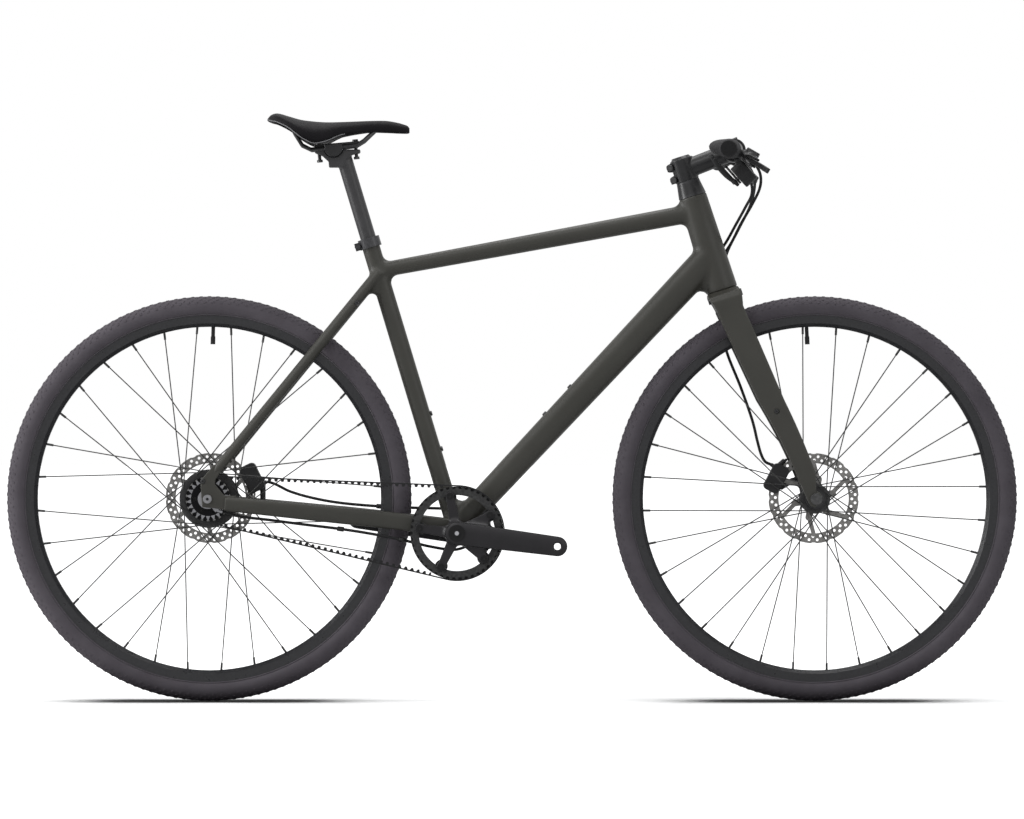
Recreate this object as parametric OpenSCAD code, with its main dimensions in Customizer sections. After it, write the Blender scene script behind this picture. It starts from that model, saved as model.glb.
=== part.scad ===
// Hybrid bicycle with a belt drive, a hub gear and disc brakes.
// Millimetres. X points forward, Y to the rider's left and Z up.
// The origin is on the ground, on the centre plane, midway between the two axles.

/* [Wheels] */
// Diameter of the bead seat of the rims
bead_seat_d = 622; // [616:1:628]
// Width and height of the inflated tyres
tyre_w = 40; // [36:1:42]
// Thickness of the tyre casing
tyre_wall = 3.5; // [3:0.5:5]
// Height of the rims from their inner edge to the bead seat
rim_depth = 13.5; // [12:0.5:20]
// Width of the rims
rim_w = 25; // [22:1:28]
// Number of spokes in each wheel
spoke_count = 32; // [24:8:40]
// Diameter of the spokes
spoke_d = 2; // [1.8:0.1:2.4]
// Radius of the circle of spoke holes in the front hub
front_flange_r = 22; // [21:0.5:26]
// Radius of the circle of spoke holes in the rear hub
rear_flange_r = 46.5; // [44:0.5:50]
// Distance of the hub flanges from the centre plane
flange_offset = 26; // [24:1:28]
// Thickness of the hub flanges
flange_t = 3.2; // [2.5:0.1:4]
// Diameter of the front axle
front_axle_d = 12; // [10:1:13]
// Diameter of the rear axle
rear_axle_d = 10; // [9:1:12]
// Distance between the faces that hold the front hub
front_hub_w = 100; // [98:1:104]
// Distance between the faces that hold the rear hub
rear_hub_w = 135; // [133:1:142]
// Length of the valve inside the rim
valve_len = 30; // [24:1:40]

/* [Brakes] */
// Diameter of the brake rotors
rotor_d = 157; // [150:1:160]
// Thickness of the brake rotors
rotor_t = 1.8; // [1.6:0.1:2.2]
// Width of the braking band
rotor_band = 17.5; // [15:0.5:20]
// Distance from the front hub's holding face to the rotor
front_rotor_inset = 12; // [11:0.5:13]
// Distance from the rear hub's holding face to the rotor
rear_rotor_inset = 16; // [15:0.5:17]
// Width of the slot in the calipers
caliper_slot = 5; // [4.6:0.1:5.6]
// Diameter of the hoses
hose_d = 5; // [4.5:0.5:6]

/* [Frame] */
// Distance between the two axles
wheelbase = 1049; // [1040:1:1060]
// Distance from the rear axle to the crank axis
chainstay_len = 433.5; // [430:0.5:440]
// Drop of the crank axis below the axles
bb_drop = 59; // [54:1:64]
// Angle of the seat tube from the ground
seat_angle = 73.2; // [72:0.1:74]
// Length of the seat tube from the crank axis
seat_tube_len = 532; // [522:1:560]
// Diameter of the seat tube
seat_tube_d = 31; // [30.6:0.2:33]
// Horizontal distance from the crank axis to the head tube's top
reach = 408; // [400:1:416]
// Height of the head tube's top above the crank axis
stack = 582.5; // [575:0.5:590]
// Angle of the head tube from the ground
head_angle = 72.6; // [72:0.1:73.2]
// Length of the head tube
head_len = 170; // [160:1:176]
// Diameter of the head tube at its top
head_top_d = 48.8; // [47:0.2:52]
// Diameter of the head tube at its bottom
head_bottom_d = 56; // [55:0.5:60]
// Distance of the top tube's rear end from the crank axis along the seat tube
top_tube_seat_s = 482; // [472:1:490]
// Distance of the top tube's front end below the head tube's top
top_tube_head_s = 28.5; // [26:0.5:36]
// Diameter of the top tube at its rear end
top_tube_rear_d = 26; // [24:0.5:30]
// Diameter of the top tube at its front end
top_tube_front_d = 32; // [28:0.5:36]
// Distance of the down tube's front end below the head tube's top
down_tube_head_s = 107; // [102:1:112]
// Diameter of the down tube at the head tube
down_tube_front_d = 51; // [48:0.5:55]
// Diameter of the down tube at the crank
down_tube_rear_d = 42.5; // [38:0.5:45]
// Wall of the frame's tubes
tube_wall = 2; // [1.6:0.1:2.6]
// Width of the bottom bracket shell
bb_shell_w = 68; // [66:1:73]
// Diameter of the bottom bracket shell
bb_shell_d = 42; // [40:0.5:46]
// Height of the chainstays
chainstay_h = 30; // [26:1:32]
// Width of the chainstays beside the tyre
chainstay_w = 14; // [12:0.5:15]
// Diameter of the seatstays at the seat tube
seatstay_top_d = 20; // [18:0.5:22]
// Diameter of the seatstays at the dropouts
seatstay_low_d = 18; // [16:0.5:20]
// Thickness of the dropouts
dropout_t = 6; // [5:0.5:8]
// Distance of the bottle cage screws from each other
cage_pitch = 64; // [60:1:68]
// Diameter of the bottle cage and rack screws
screw_d = 5; // [4:0.5:6]

/* [Fork] */
// Diameter of the steerer
steerer_d = 28.6; // [27:0.1:30]
// Depth of a fork leg as seen from the side at the crown
leg_top_h = 46; // [42:1:50]
// Depth of a fork leg as seen from the side at the axle
leg_end_h = 36; // [32:1:38]
// Thickness of a fork leg across the bicycle at the crown
leg_top_w = 24; // [20:1:25]
// Thickness of a fork leg across the bicycle at the axle
leg_end_w = 16; // [14:1:18]
// Distance of the fork legs' centres from the centre plane at the crown
leg_top_y = 40; // [39:0.5:43]

/* [Seat] */
// Diameter of the seatpost
seatpost_d = 27.2; // [26.8:0.2:27.6]
// Length of the seatpost
seatpost_len = 350; // [320:5:380]
// Distance of the saddle clamp from the crank axis along the seat tube
saddle_height = 700; // [680:1:740]
// Distance of the saddle clamp behind the seatpost's axis
seatpost_setback = 12; // [8:0.5:16]
// Tilt of the saddle rails
rail_tilt = 5; // [2:0.5:8]
// Diameter of the saddle rails
rail_d = 7; // [6.5:0.5:8]
// Distance between the saddle rails
rail_spacing = 44; // [40:1:46]
// Width of the saddle
saddle_w = 158; // [150:1:170]
// Thickness of the saddle's padding
padding_t = 13; // [10:0.5:14]
// Diameter of the saddle clamp's bolts
clamp_bolt_d = 6; // [5:0.5:7]

/* [Cockpit] */
// Distance from the steering axis to the handlebar
stem_len = 92; // [80:1:110]
// Rise of the stem from square to the steerer
stem_rise = 4; // [0:0.5:8]
// Distance of the stem's axis above the head tube
stem_height = 48; // [44:0.5:60]
// Diameter of the stem's extension
stem_d = 33.6; // [30:0.2:36]
// Height of the stem's steerer clamp
stem_clamp_h = 40; // [36:1:42]
// Width of the handlebar
bar_w = 620; // [600:2:660]
// Diameter of the handlebar at the stem
bar_clamp_d = 31.8; // [31:0.1:33]
// Diameter of the handlebar at the grips
bar_d = 22.2; // [21.8:0.1:23]
// Distance that the bar ends sweep back
bar_sweep = 19; // [10:1:26]
// Distance that the bar ends drop
bar_drop = 8; // [0:1:12]
// Length of the grips
grip_len = 128; // [120:1:136]
// Diameter of the grips
grip_d = 34; // [32:0.5:36]
// Distance of the brake lever clamps from the centre
lever_clamp_s = 165; // [160:1:168]
// Distance of the shifter clamp from the centre
shift_clamp_s = 140; // [130:1:142]
// Angle of the brake levers below the horizontal
lever_drop = 30; // [20:1:40]

/* [Drive] */
// Pitch of the belt's teeth
belt_pitch = 11; // [10.8:0.1:11.2]
// Width of the belt
belt_w = 12; // [10:0.5:13]
// Thickness of the belt over its teeth
belt_t = 2.4; // [2:0.1:3]
// Number of teeth on the front belt ring
front_teeth = 46; // [44:1:48]
// Number of teeth on the rear belt ring
rear_teeth = 22; // [20:1:24]
// Distance of the belt from the centre plane
belt_line = 48; // [47.5:0.1:48.5]
// Length of the cranks
crank_len = 175; // [165:2.5:180]
// Angle of the right crank in the side view
crank_angle = -7.5; // [-90:0.5:90]
// Diameter of the pedal holes
pedal_hole_d = 14.3; // [12.7:0.1:15]
// Diameter of the crank spindle
spindle_d = 24; // [22:0.5:25]
// Diameter of the circle of the belt ring's bolts
ring_bolt_circle_d = 130; // [126:1:132]

/* [Fits] */
// Radial clearance of parts that stay still in each other
still_gap = 0.02; // [0.01:0.01:0.04]
// Radial clearance of parts that turn or slide in each other
running_gap = 0.05; // [0.03:0.01:0.09]
// Gap between parts that pass each other or lie side by side
side_gap = 0.3; // [0.2:0.1:0.6]

/* [Hidden] */
$fn = 48;
wheel_fn = 160;
wheel_r = bead_seat_d / 2 + tyre_w;
tyre_mid_r = wheel_r - tyre_w / 2;
bead_r = bead_seat_d / 2;
rim_in_r = bead_r - rim_depth;
rear_axle_p = [-wheelbase / 2, 0, wheel_r];
front_axle_p = [wheelbase / 2, 0, wheel_r];
bb = [rear_axle_p.x + sqrt(chainstay_len ^ 2 - bb_drop ^ 2), 0, wheel_r - bb_drop];
seat_dir = [-cos(seat_angle), 0, sin(seat_angle)];
head_top = [bb.x + reach, 0, bb.z + stack];
head_dir = [-cos(head_angle), 0, sin(head_angle)];
across = [0, 1, 0];

function on_seat_tube(s) = bb + s * seat_dir;
function on_steerer(s) = head_top + s * head_dir;
function unit(v) = v / norm(v);
function side(v, y) = [v.x, y, v.z];

// Both belt rings and the line between them
front_ring_r = front_teeth * belt_pitch / (2 * PI);
rear_ring_r = rear_teeth * belt_pitch / (2 * PI);
belt_slope = asin((front_ring_r - rear_ring_r) / chainstay_len);
stay_slope = asin(bb_drop / chainstay_len);

// Down tube from the crank end to the head tube
down_tube_lift = 9.5;
down_tube_p0 = bb + [0, 0, down_tube_lift];
down_tube_p1 = on_steerer(-down_tube_head_s);
down_dir = unit(down_tube_p1 - down_tube_p0);
down_up = [-down_dir.z, 0, down_dir.x];

// Fork: the crown lies just under the head tube and the legs run straight to the axle
crown_s = head_len + 0.5;
crown_h = 34;
leg_top_p = on_steerer(-crown_s - 18.5);
leg_end_y = front_hub_w / 2 + leg_end_w / 2 + 0.5;

// Seat: the clamp's pivot is on the axis of the rails
clamp_p = on_seat_tube(saddle_height) - seatpost_setback * [sin(seat_angle), 0, cos(seat_angle)];
post_top_s = saddle_height - 22;

// Cockpit: the bar's centre and the slopes of its two arms
bar_p = on_steerer(stem_height + stem_len * sin(stem_rise))
        + stem_len * cos(stem_rise) * [sin(head_angle), 0, cos(head_angle)];
bar_half = bar_w / 2;
bar_taper_start = 34;
bar_taper_end = 64;
bar_root = 1.5;
sweep_angle = atan(bar_sweep / (bar_half - bar_taper_start));
drop_angle = atan(bar_drop / (bar_half - bar_taper_start));
grip_start = bar_half - grip_len - 1;

// Routes of the hoses and the shift cable, as points chosen by hand
rear_hose_route = [
    [407.2, -130, 934.1], [408.4, -112, 934.7], [419, -95, 926], [428, -77, 908], [427, -57, 886],
    [414, -36, 858], [396, -8, 826], [378, 20, 790], [352, 36, 756], [320, 38, 733],
    [296, 26, 716], [276, 12, 697], [240, 6, 660], [120, 6, 531], [0, 6, 403],
    [-22, 12, 379], [-48, 24, 353], [-90, 30, 335], [-150, 35, 334], [-230, 39, 337],
    [-300, 46, 343], [-350, 54, 354], [-385, 60, 374], [-402, 61, 384], [-414.1, 60.9, 385.3],
    [-426.8, 60.9, 379.7]];
shift_cable_route = [
    [395.5, -110.6, 915.4], [396.5, -97, 915.8], [403, -82, 910], [413, -66, 892], [413, -50, 874],
    [404, -36, 856], [388, -10, 826], [368, 24, 790], [344, 35, 761], [315, 34, 740],
    [291, 25, 722], [271, 12, 703], [235, 3, 665], [120, -6, 531], [10, -6, 413],
    [-10, -7, 385], [-28, -8, 352], [-44, -10, 315], [-66, -13, 279], [-96, -17, 263],
    [-140, -24, 268], [-190, -32, 280], [-240, -37, 290], [-296, -44, 299], [-360, -53, 307],
    [-420, -60, 315], [-470, -62, 321], [-499, -62, 329.1]];
front_hose_route = [
    [407.2, 130.4, 934.1], [408.4, 112, 934.7], [418, 98, 924], [424, 84, 902], [418, 72, 868],
    [400, 61, 820], [384, 57, 770], [375, 56, 720], [371, 59, 660], [376, 59, 606],
    [398, 56, 545], [418, 55, 488], [427, 51, 451], [433, 48, 429], [440, 47.4, 415.2],
    [449.9, 47.4, 409.9]];

// Turns children so that their Z axis runs from p towards q
module aim(p, q) {
    d = q - p;
    translate(p) rotate([0, acos(d.z / norm(d)), atan2(d.y, d.x)]) children();
}

module rod(p, q, r) {
    aim(p, q) cylinder(r = r, h = norm(q - p));
}

// Draws children as seen from the right, with their local Z axis towards the viewer
module side_view(p) {
    translate(p) rotate([90, 0, 0]) children();
}

module both_sides() {
    children();
    mirror([0, 1, 0]) children();
}

// Places children on the seat tube, Z up along it and X square to it and forward
module seat_frame(s) {
    translate(on_seat_tube(s)) rotate([0, seat_angle - 90, 0]) children();
}

// Places children on the steering axis, Z up along it and X square to it and forward
module steer_frame(s) {
    translate(on_steerer(s)) rotate([0, head_angle - 90, 0]) children();
}

// Places children on the right arm of the handlebar, Z outwards, X forward and Y up
module bar_frame(s) {
    translate(bar_p - [0, bar_taper_start, 0]) rotate([90 + drop_angle, 0, -sweep_angle])
        translate([0, 0, s - bar_taper_start]) children();
}

module clamp_frame() {
    translate(clamp_p) rotate([0, -rail_tilt, 0]) children();
}

module rounded_rect(w, h, r) {
    square([w - 2 * r, h], center = true);
    square([w, h - 2 * r], center = true);
    for (x = [-1, 1], y = [-1, 1])
        translate([x * (w / 2 - r), y * (h / 2 - r)]) circle(r = r);
}

// A solid skinned over rings of points, each ring with as many points as the others
module skin(rings) {
    n = len(rings[0]);
    m = len(rings);
    sides = [for (i = [0 : m - 2], j = [0 : n - 1], k = [0, 1])
        k == 0 ? [i * n + j, i * n + (j + 1) % n, (i + 1) * n + j]
               : [i * n + (j + 1) % n, (i + 1) * n + (j + 1) % n, (i + 1) * n + j]];
    first = [for (j = [0 : n / 2 - 2], k = [0, 1])
        k == 0 ? [n - 1 - j, j + 1, j] : [n - 1 - j, n - 2 - j, j + 1]];
    last = [for (face = first) [for (j = [2, 1, 0]) (m - 1) * n + face[j]]];
    polyhedron(points = [for (ring = rings, p = ring) p], faces = concat(sides, first, last));
}

// A round cord along a route, carrying its rings round bends without a twist
module cord(route, d, cord_sides = 8) {
    n = len(route);
    t = [for (i = [0 : n - 1]) unit(route[min(i + 1, n - 1)] - route[max(i - 1, 0)])];
    start = unit(cross(t[0], [0, 0, 1]));
    v = [for (i = 0, w = start; i < n; i = i + 1, w = i < n ? unit(w - (w * t[i]) * t[i]) : w) w];
    skin([for (i = [0 : n - 1]) let (u = cross(t[i], v[i])) [for (j = [0 : cord_sides - 1])
        let (a = 360 * j / cord_sides) route[i] + d / 2 * (cos(a) * u + sin(a) * v[i])]]);
}

// A domed screw at p whose head points along the way d
module screw(p, d, shank_d, head_d, head_h, shank_len) {
    aim(p, p + d) {
        translate([0, 0, -shank_len]) cylinder(d = shank_d, h = shank_len);
        difference() {
            cylinder(d1 = head_d, d2 = head_d * 0.75, h = head_h);
            translate([0, 0, head_h * 0.4]) cylinder(d = shank_d * 0.7, h = head_h, $fn = 6);
        }
    }
}

// The hole for a screw, with a flat seat for its head
module screw_hole(p, d, shank_d, head_d, shank_len) {
    aim(p, p + d) {
        translate([0, 0, -shank_len]) cylinder(d = shank_d, h = shank_len + 1);
        cylinder(d = head_d + side_gap, h = 20);
    }
}

// Frame

bearing_h = 7;
lower_bearing_d = head_bottom_d - 5;
upper_bearing_d = head_top_d - 5;

module head_tube_outer() {
    steer_frame(-head_len) cylinder(d1 = head_bottom_d, d2 = head_top_d, h = head_len);
}

module head_tube() {
    color("#3e3d38") difference() {
        head_tube_outer();
        steer_frame(-head_len - 1) cylinder(d = steerer_d + 10, h = head_len + 2);
        steer_frame(-head_len - 1) cylinder(d = lower_bearing_d, h = bearing_h + 1);
        steer_frame(-bearing_h) cylinder(d = upper_bearing_d, h = bearing_h + 1);
    }
}

module headset_bearings() {
    color("#202020") for (b = [[-head_len, lower_bearing_d], [-bearing_h, upper_bearing_d]])
        steer_frame(b[0]) difference() {
            cylinder(d = b[1] - 2 * still_gap, h = bearing_h - still_gap);
            translate([0, 0, -1]) cylinder(d = steerer_d + 2 * running_gap, h = bearing_h + 2);
        }
}

module seat_tube_outer() {
    seat_frame(0) cylinder(d = seat_tube_d, h = seat_tube_len);
}

module bb_shell_outer() {
    side_view(bb) cylinder(d = bb_shell_d, h = bb_shell_w, center = true);
}

seat_cage_s = [147, 147 + cage_pitch];
down_cage_s = [247, 247 + cage_pitch];

function seat_cage_p(s) = on_seat_tube(s) + seat_tube_d / 2 * [sin(seat_angle), 0, cos(seat_angle)];
function down_half_h(s) = (down_tube_rear_d
    + (down_tube_front_d - down_tube_rear_d) * s / norm(down_tube_p1 - down_tube_p0)) / 2;
function down_cage_p(s) = down_tube_p0 + s * down_dir + down_half_h(s) * down_up;
seat_cage_dir = [sin(seat_angle), 0, cos(seat_angle)];

module seat_tube() {
    color("#3e3d38") difference() {
        seat_tube_outer();
        seat_frame(bb_shell_d) cylinder(d = seatpost_d + 2 * running_gap, h = seat_tube_len);
        bb_shell_outer();
        for (s = seat_cage_s)
            screw_hole(seat_cage_p(s), seat_cage_dir, screw_d, screw_d * 2, tube_wall * 3);
    }
}

module bottom_bracket_shell() {
    color("#3e3d38") difference() {
        bb_shell_outer();
        side_view(bb) cylinder(d = bb_shell_d - 8, h = bb_shell_w + 2, center = true);
    }
}

// A straight tapered tube between two points, thinner by inset all round
module tapered(p, q, d1, d2, inset = 0) {
    aim(p, q) cylinder(d1 = d1 - 2 * inset, d2 = d2 - 2 * inset, h = norm(q - p));
}

module top_tube_body(inset) {
    tapered(on_seat_tube(top_tube_seat_s), on_steerer(-top_tube_head_s),
            top_tube_rear_d, top_tube_front_d, inset);
}

module top_tube() {
    color("#3e3d38") difference() {
        top_tube_body(0);
        top_tube_body(tube_wall);
        seat_tube_outer();
        head_tube_outer();
    }
}

module down_tube_body(inset) {
    tapered(down_tube_p0, down_tube_p1, down_tube_rear_d, down_tube_front_d, inset);
}

// Holes for a hose along its route from one point to another
upper_port_r = hose_d / 2 + 3;
lower_port_r = hose_d / 2 + 2;

module cord_port(route, first, last, reach, r) {
    d = reach * unit(route[last] - route[first]);
    rod(route[first] - d, route[last] + d, r);
}

module down_tube() {
    color("#3e3d38") difference() {
        down_tube_body(0);
        down_tube_body(tube_wall);
        seat_tube_outer();
        head_tube_outer();
        bb_shell_outer();
        for (s = down_cage_s)
            screw_hole(down_cage_p(s), down_up, screw_d, screw_d * 2, tube_wall * 3);
        cord_port(rear_hose_route, 9, 11, 2, upper_port_r);
        cord_port(rear_hose_route, 15, 16, 8, lower_port_r);
        cord_port(shift_cable_route, 9, 11, 2, upper_port_r);
        cord_port(shift_cable_route, 16, 17, 8, lower_port_r);
    }
}

// A chainstay starts at the shell, passes close to the tyre and widens out to the dropout
stay_end_y = rear_hub_w / 2 + dropout_t / 2;
stay_gap_y = tyre_w / 2 + 4.5 + chainstay_w / 2;
stay_front_x = bb.x - 8;
stay_bend_x = bb.x - 140;
stay_wide_x = bb.x - 250;
stay_end_x = rear_axle_p.x + 30;

module chainstay_right(inset) {
    w = chainstay_w / 2 - inset;
    h = chainstay_h / 2 - inset;
    z0 = bb.z + 9;
    z1 = wheel_r - 8;
    e = inset * 4;
    plan = [[stay_front_x - e, -stay_gap_y + 4], [stay_bend_x, -stay_gap_y - 3],
            [stay_wide_x, -stay_end_y + 9], [rear_axle_p.x + 70, -stay_end_y],
            [stay_end_x + e, -stay_end_y]];
    intersection() {
        linear_extrude(wheel_r * 2) polygon(concat([for (p = plan) p + [0, w]],
            [for (i = [len(plan) - 1 : -1 : 0]) plan[i] - [0, w]]));
        side_view([0, 0, 0]) linear_extrude(rear_hub_w)
            polygon([[stay_front_x - e, z0 + h], [stay_bend_x, z0 + 15.5 + h],
                     [stay_end_x + e, z1 + h - 2.5], [stay_end_x + e, z1 - h + 2.5],
                     [stay_bend_x, z0 + 15.5 - h], [stay_front_x - e, z0 - h]]);
    }
}

module chainstays() {
    color("#3e3d38") difference() {
        both_sides() chainstay_right(0);
        both_sides() chainstay_right(tube_wall);
        side_view(bb) cylinder(d = bb_shell_d, h = bb_shell_w + 20, center = true);
        seat_tube_outer();
        down_tube_body(0);
        dropout_plates();
    }
}

seatstay_dir = [sin(38.6), 0, cos(38.6)];
seatstay_low_p = rear_axle_p + [16, 0, 37];
rack_screw_s = 386;
bridge_s = 352;

seatstay_len = 440;

function seatstay_y(s) = stay_end_y + (seatstay_top_d / 2 + 2 - stay_end_y) * s / seatstay_len;
function seatstay_p(s) = side(seatstay_low_p + s * seatstay_dir, -seatstay_y(s));

module seatstay_right(inset) {
    tapered(seatstay_p(0), seatstay_p(seatstay_len), seatstay_low_d, seatstay_top_d, inset);
    translate(seatstay_p(seatstay_len)) sphere(d = seatstay_top_d + 0.4 - 2 * inset);
}

module seatstays() {
    color("#3e3d38") difference() {
        union() {
            both_sides() difference() {
                seatstay_right(0);
                seatstay_right(tube_wall);
            }
            rod(side(seatstay_p(bridge_s), -seatstay_y(bridge_s) + 3),
                side(seatstay_p(bridge_s), seatstay_y(bridge_s) - 3), 6);
        }
        seat_tube_outer();
        dropout_plates();
        both_sides() screw_hole(rack_screw_p, -across, screw_d, screw_d * 1.8, 8);
    }
}

rack_screw_p = seatstay_p(rack_screw_s) - [0, seatstay_top_d / 2 - 0.3, 0];

// A dropout in the side view: from the seatstay round the axle to the chainstay
module dropout_outline() {
    polygon([[0, 52], [-15, 34], [-16, 15], [-13.5, -10], [-9, -16], [6, -17], [27, -21],
             [40, -22], [40, 2], [28, 2], [17, 9], [10, 22], [13, 30], [22, 45]]);
}

module dropout_plates() {
    for (y = [-rear_hub_w / 2, rear_hub_w / 2 + dropout_t])
        side_view(rear_axle_p + [0, y, 0]) linear_extrude(dropout_t) dropout_outline();
}

split_z = 17;
split_screw_z = 30.5;

module dropouts() {
    color("#3e3d38") difference() {
        dropout_plates();
        side_view(rear_axle_p) cylinder(d = rear_axle_d + 2 * still_gap, h = 200, center = true);
        side_view(rear_axle_p + [-8, -rear_hub_w / 2, split_screw_z])
            cylinder(d = screw_d, h = 40, center = true);
        translate(rear_axle_p + [-30, -100, split_z]) cube([60, 60, still_gap]);
    }
}

module frame_screws() {
    color("#2a2a2a") {
        for (s = seat_cage_s)
            screw(seat_cage_p(s), seat_cage_dir, screw_d, screw_d * 2, 3, tube_wall * 2);
        for (s = down_cage_s)
            screw(down_cage_p(s), down_up, screw_d, screw_d * 2, 3, tube_wall * 2);
        both_sides() screw(rack_screw_p, -across, screw_d, screw_d * 1.8, 2.5, 6);
        screw(rear_axle_p + [-8, -rear_hub_w / 2 - dropout_t, split_screw_z], -across,
              screw_d, screw_d * 1.8, 2.5, dropout_t);
    }
}

collar_t = 3.6;
collar_h = 17;

module seat_clamp() {
    z0 = seat_tube_len - collar_h + 1;
    color("#232323") difference() {
        seat_frame(z0) union() {
            cylinder(d = seat_tube_d + 2 * collar_t, h = collar_h);
            translate([-seat_tube_d / 2 - 11, -9, 1]) cube([14, 18, 13]);
        }
        seat_frame(z0 - 1) cylinder(d = seat_tube_d + 2 * still_gap, h = collar_h);
        seat_frame(z0 - 1) cylinder(d = seatpost_d + 2, h = collar_h + 3);
        seat_frame(z0 - 1) translate([-seat_tube_d, -1, 0]) cube([seat_tube_d, 2, collar_h + 3]);
        seat_clamp_screw(0);
    }
    color("silver") seat_clamp_screw(0);
}

module seat_clamp_screw(grow) {
    z0 = seat_tube_len - collar_h + 1;
    seat_frame(z0) translate([-seat_tube_d / 2 - 6.5, 0, 7.5]) rotate([90, 0, 0]) {
        cylinder(d = screw_d + grow, h = 18, center = true);
        translate([0, 0, 9]) cylinder(d = screw_d * 2 + grow, h = 5);
        translate([0, 0, -11]) cylinder(d = screw_d * 2 + grow, h = 2);
    }
}

cup_w = 4;

module bottom_bracket_cups() {
    color("#202020") both_sides() side_view(bb) difference() {
        union() {
            translate([0, 0, bb_shell_w / 2 - 14])
                cylinder(d = bb_shell_d - 8 - 2 * still_gap, h = 14);
            translate([0, 0, bb_shell_w / 2]) cylinder(d = bb_shell_d - 1, h = cup_w);
        }
        cylinder(d = spindle_d + 2 * running_gap, h = 100);
    }
}

axle_nut_w = 8;
shift_joint_w = 4;

module rear_axle() {
    color("silver") side_view(rear_axle_p) union() {
        cylinder(d = rear_axle_d, h = rear_hub_w + 2 * dropout_t + 14, center = true);
        for (s = [-1, 1])
            translate([0, 0, s * (rear_hub_w / 2 + dropout_t + axle_nut_w / 2)])
                cylinder(d = 15, h = axle_nut_w, center = true);
        translate([0, 0, rear_hub_w / 2 - shift_joint_w]) cylinder(d = 34, h = shift_joint_w);
        translate([0, 0, -rear_hub_w / 2]) cylinder(d = 20, h = 5);
        rotate([0, 0, -51]) translate([10, -4, rear_hub_w / 2 - shift_joint_w])
            cube([16, 8, shift_joint_w]);
    }
    cable_end = shift_cable_route[len(shift_cable_route) - 1];
    color("silver") rod(cable_end - [10, 0, -2.9], cable_end, 4);
}

// Brakes

front_rotor_y = front_hub_w / 2 - front_rotor_inset;
rear_rotor_y = rear_hub_w / 2 - rear_rotor_inset;
front_caliper_r = rotor_d / 2 - 5;
rear_caliper_r = rotor_d / 2 + 2;
caliper_l = 50;
caliper_h = 30;
caliper_out = 17;
caliper_in = 11;

// A caliper in a frame with X along the rotor's rim, Y outwards and Z towards the wheel
module caliper_body() {
    translate([0, 0, -caliper_out]) linear_extrude(caliper_out + caliper_in)
        rounded_rect(caliper_l, caliper_h, 8);
}

module caliper_block() {
    fitting = [caliper_l / 2 - 8, caliper_h / 2 - 4, -caliper_out / 2];
    difference() {
        union() {
            caliper_body();
            translate([0, -3, -caliper_out - 2]) cylinder(d = 21, h = caliper_out);
            translate(fitting) rotate([-90, 0, 0]) cylinder(d = 7, h = 9);
        }
        translate([0, -6, 0]) cube([caliper_l + 2, caliper_h, caliper_slot], center = true);
    }
    pad_t = (caliper_slot - rotor_t) / 2 - side_gap;
    for (s = [-1, 1])
        translate([0, -6, s * (caliper_slot / 2 - pad_t / 2)])
            linear_extrude(pad_t, center = true) rounded_rect(28, 14, 3);
}

module caliper_at(axle, y, r, angle) {
    side_view(side(axle, y + rotor_t / 2)) rotate([0, 0, angle])
        translate([r, 0, 0]) rotate([0, 0, -90]) children();
}

rear_caliper_angle = 26;
front_caliper_angle = 152;

module rear_caliper_place() {
    caliper_at(rear_axle_p, rear_rotor_y, rear_caliper_r, rear_caliper_angle) children();
}

module front_caliper_place() {
    caliper_at(front_axle_p, front_rotor_y, front_caliper_r, front_caliper_angle) children();
}

module rear_caliper() {
    foot_y = stay_end_y - 9;
    color("#2b2b2b") {
        rear_caliper_place() caliper_block();
        difference() {
            for (x = [-456, -434])
                rod([x, foot_y, wheel_r + 26], [x, foot_y, wheel_r - 14], 5);
            both_sides() chainstay_right(0);
            rear_caliper_place() caliper_body();
        }
    }
}

module front_caliper() {
    color("#2b2b2b") {
        front_caliper_place() caliper_block();
        difference() {
            for (end = [[-32, 80], [-20, 40]])
                rod(side(front_axle_p, leg_end_y - 8) + [-58, 0, end[1] - 22],
                    side(front_axle_p, leg_end_y - 4) + [end[0], 0, end[1]], 5);
            fork_leg_left();
            front_caliper_place() caliper_body();
        }
    }
}

module rear_brake_hose() {
    color("#1c1c1c") cord(rear_hose_route, hose_d);
}

module shift_cable() {
    color("#1c1c1c") cord(shift_cable_route, hose_d);
}

module front_brake_hose() {
    color("#1c1c1c") cord(front_hose_route, hose_d);
}

rotor_arm_r = 34.5;
rivet_d = 5;

// A rotor with its carrier, in a wheel's frame with the rotor's right face at z = 0
module rotor_body() {
    r = rotor_d / 2;
    color("#8a8a8a") mirror([0, 0, 1]) linear_extrude(rotor_t) difference() {
        union() {
            difference() {
                circle(r = r, $fn = wheel_fn);
                circle(r = r - rotor_band, $fn = wheel_fn);
                for (i = [0 : 15]) rotate(i * 22.5) translate([r + 9.5, 0]) circle(r = 11);
                for (i = [0 : 31]) rotate(i * 11.25 + 5) translate([r - 6, 0]) circle(r = 2.4);
                for (i = [0 : 31]) rotate(i * 11.25 - 1) translate([r - 12, 0]) circle(r = 2.4);
            }
            for (i = [0 : 5]) rotate(15 + i * 60) {
                translate([rotor_arm_r, 0]) circle(r = 5);
                polygon([[rotor_arm_r - 2, -4.5], [rotor_arm_r - 2, 4.5], [r - rotor_band + 2, 22],
                         [r - rotor_band + 4, 15]]);
            }
        }
        for (i = [0 : 5]) rotate(15 + i * 60)
            translate([rotor_arm_r, 0]) circle(d = rivet_d);
    }
    color("#202020") {
        linear_extrude(4) difference() {
            union() {
                circle(r = 25);
                for (i = [0 : 5]) rotate(15 + i * 60) {
                    translate([rotor_arm_r, 0]) circle(r = 5.5);
                    polygon([[18, -7], [rotor_arm_r, -5.5], [rotor_arm_r, 5.5], [18, 7]]);
                }
            }
            circle(r = hub_end_r + still_gap);
        }
        for (i = [0 : 5]) rotate(15 + i * 60) translate([rotor_arm_r, 0, -rotor_t - 0.6])
            cylinder(d = rivet_d - still_gap, h = rotor_t + 0.6);
    }
}

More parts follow.
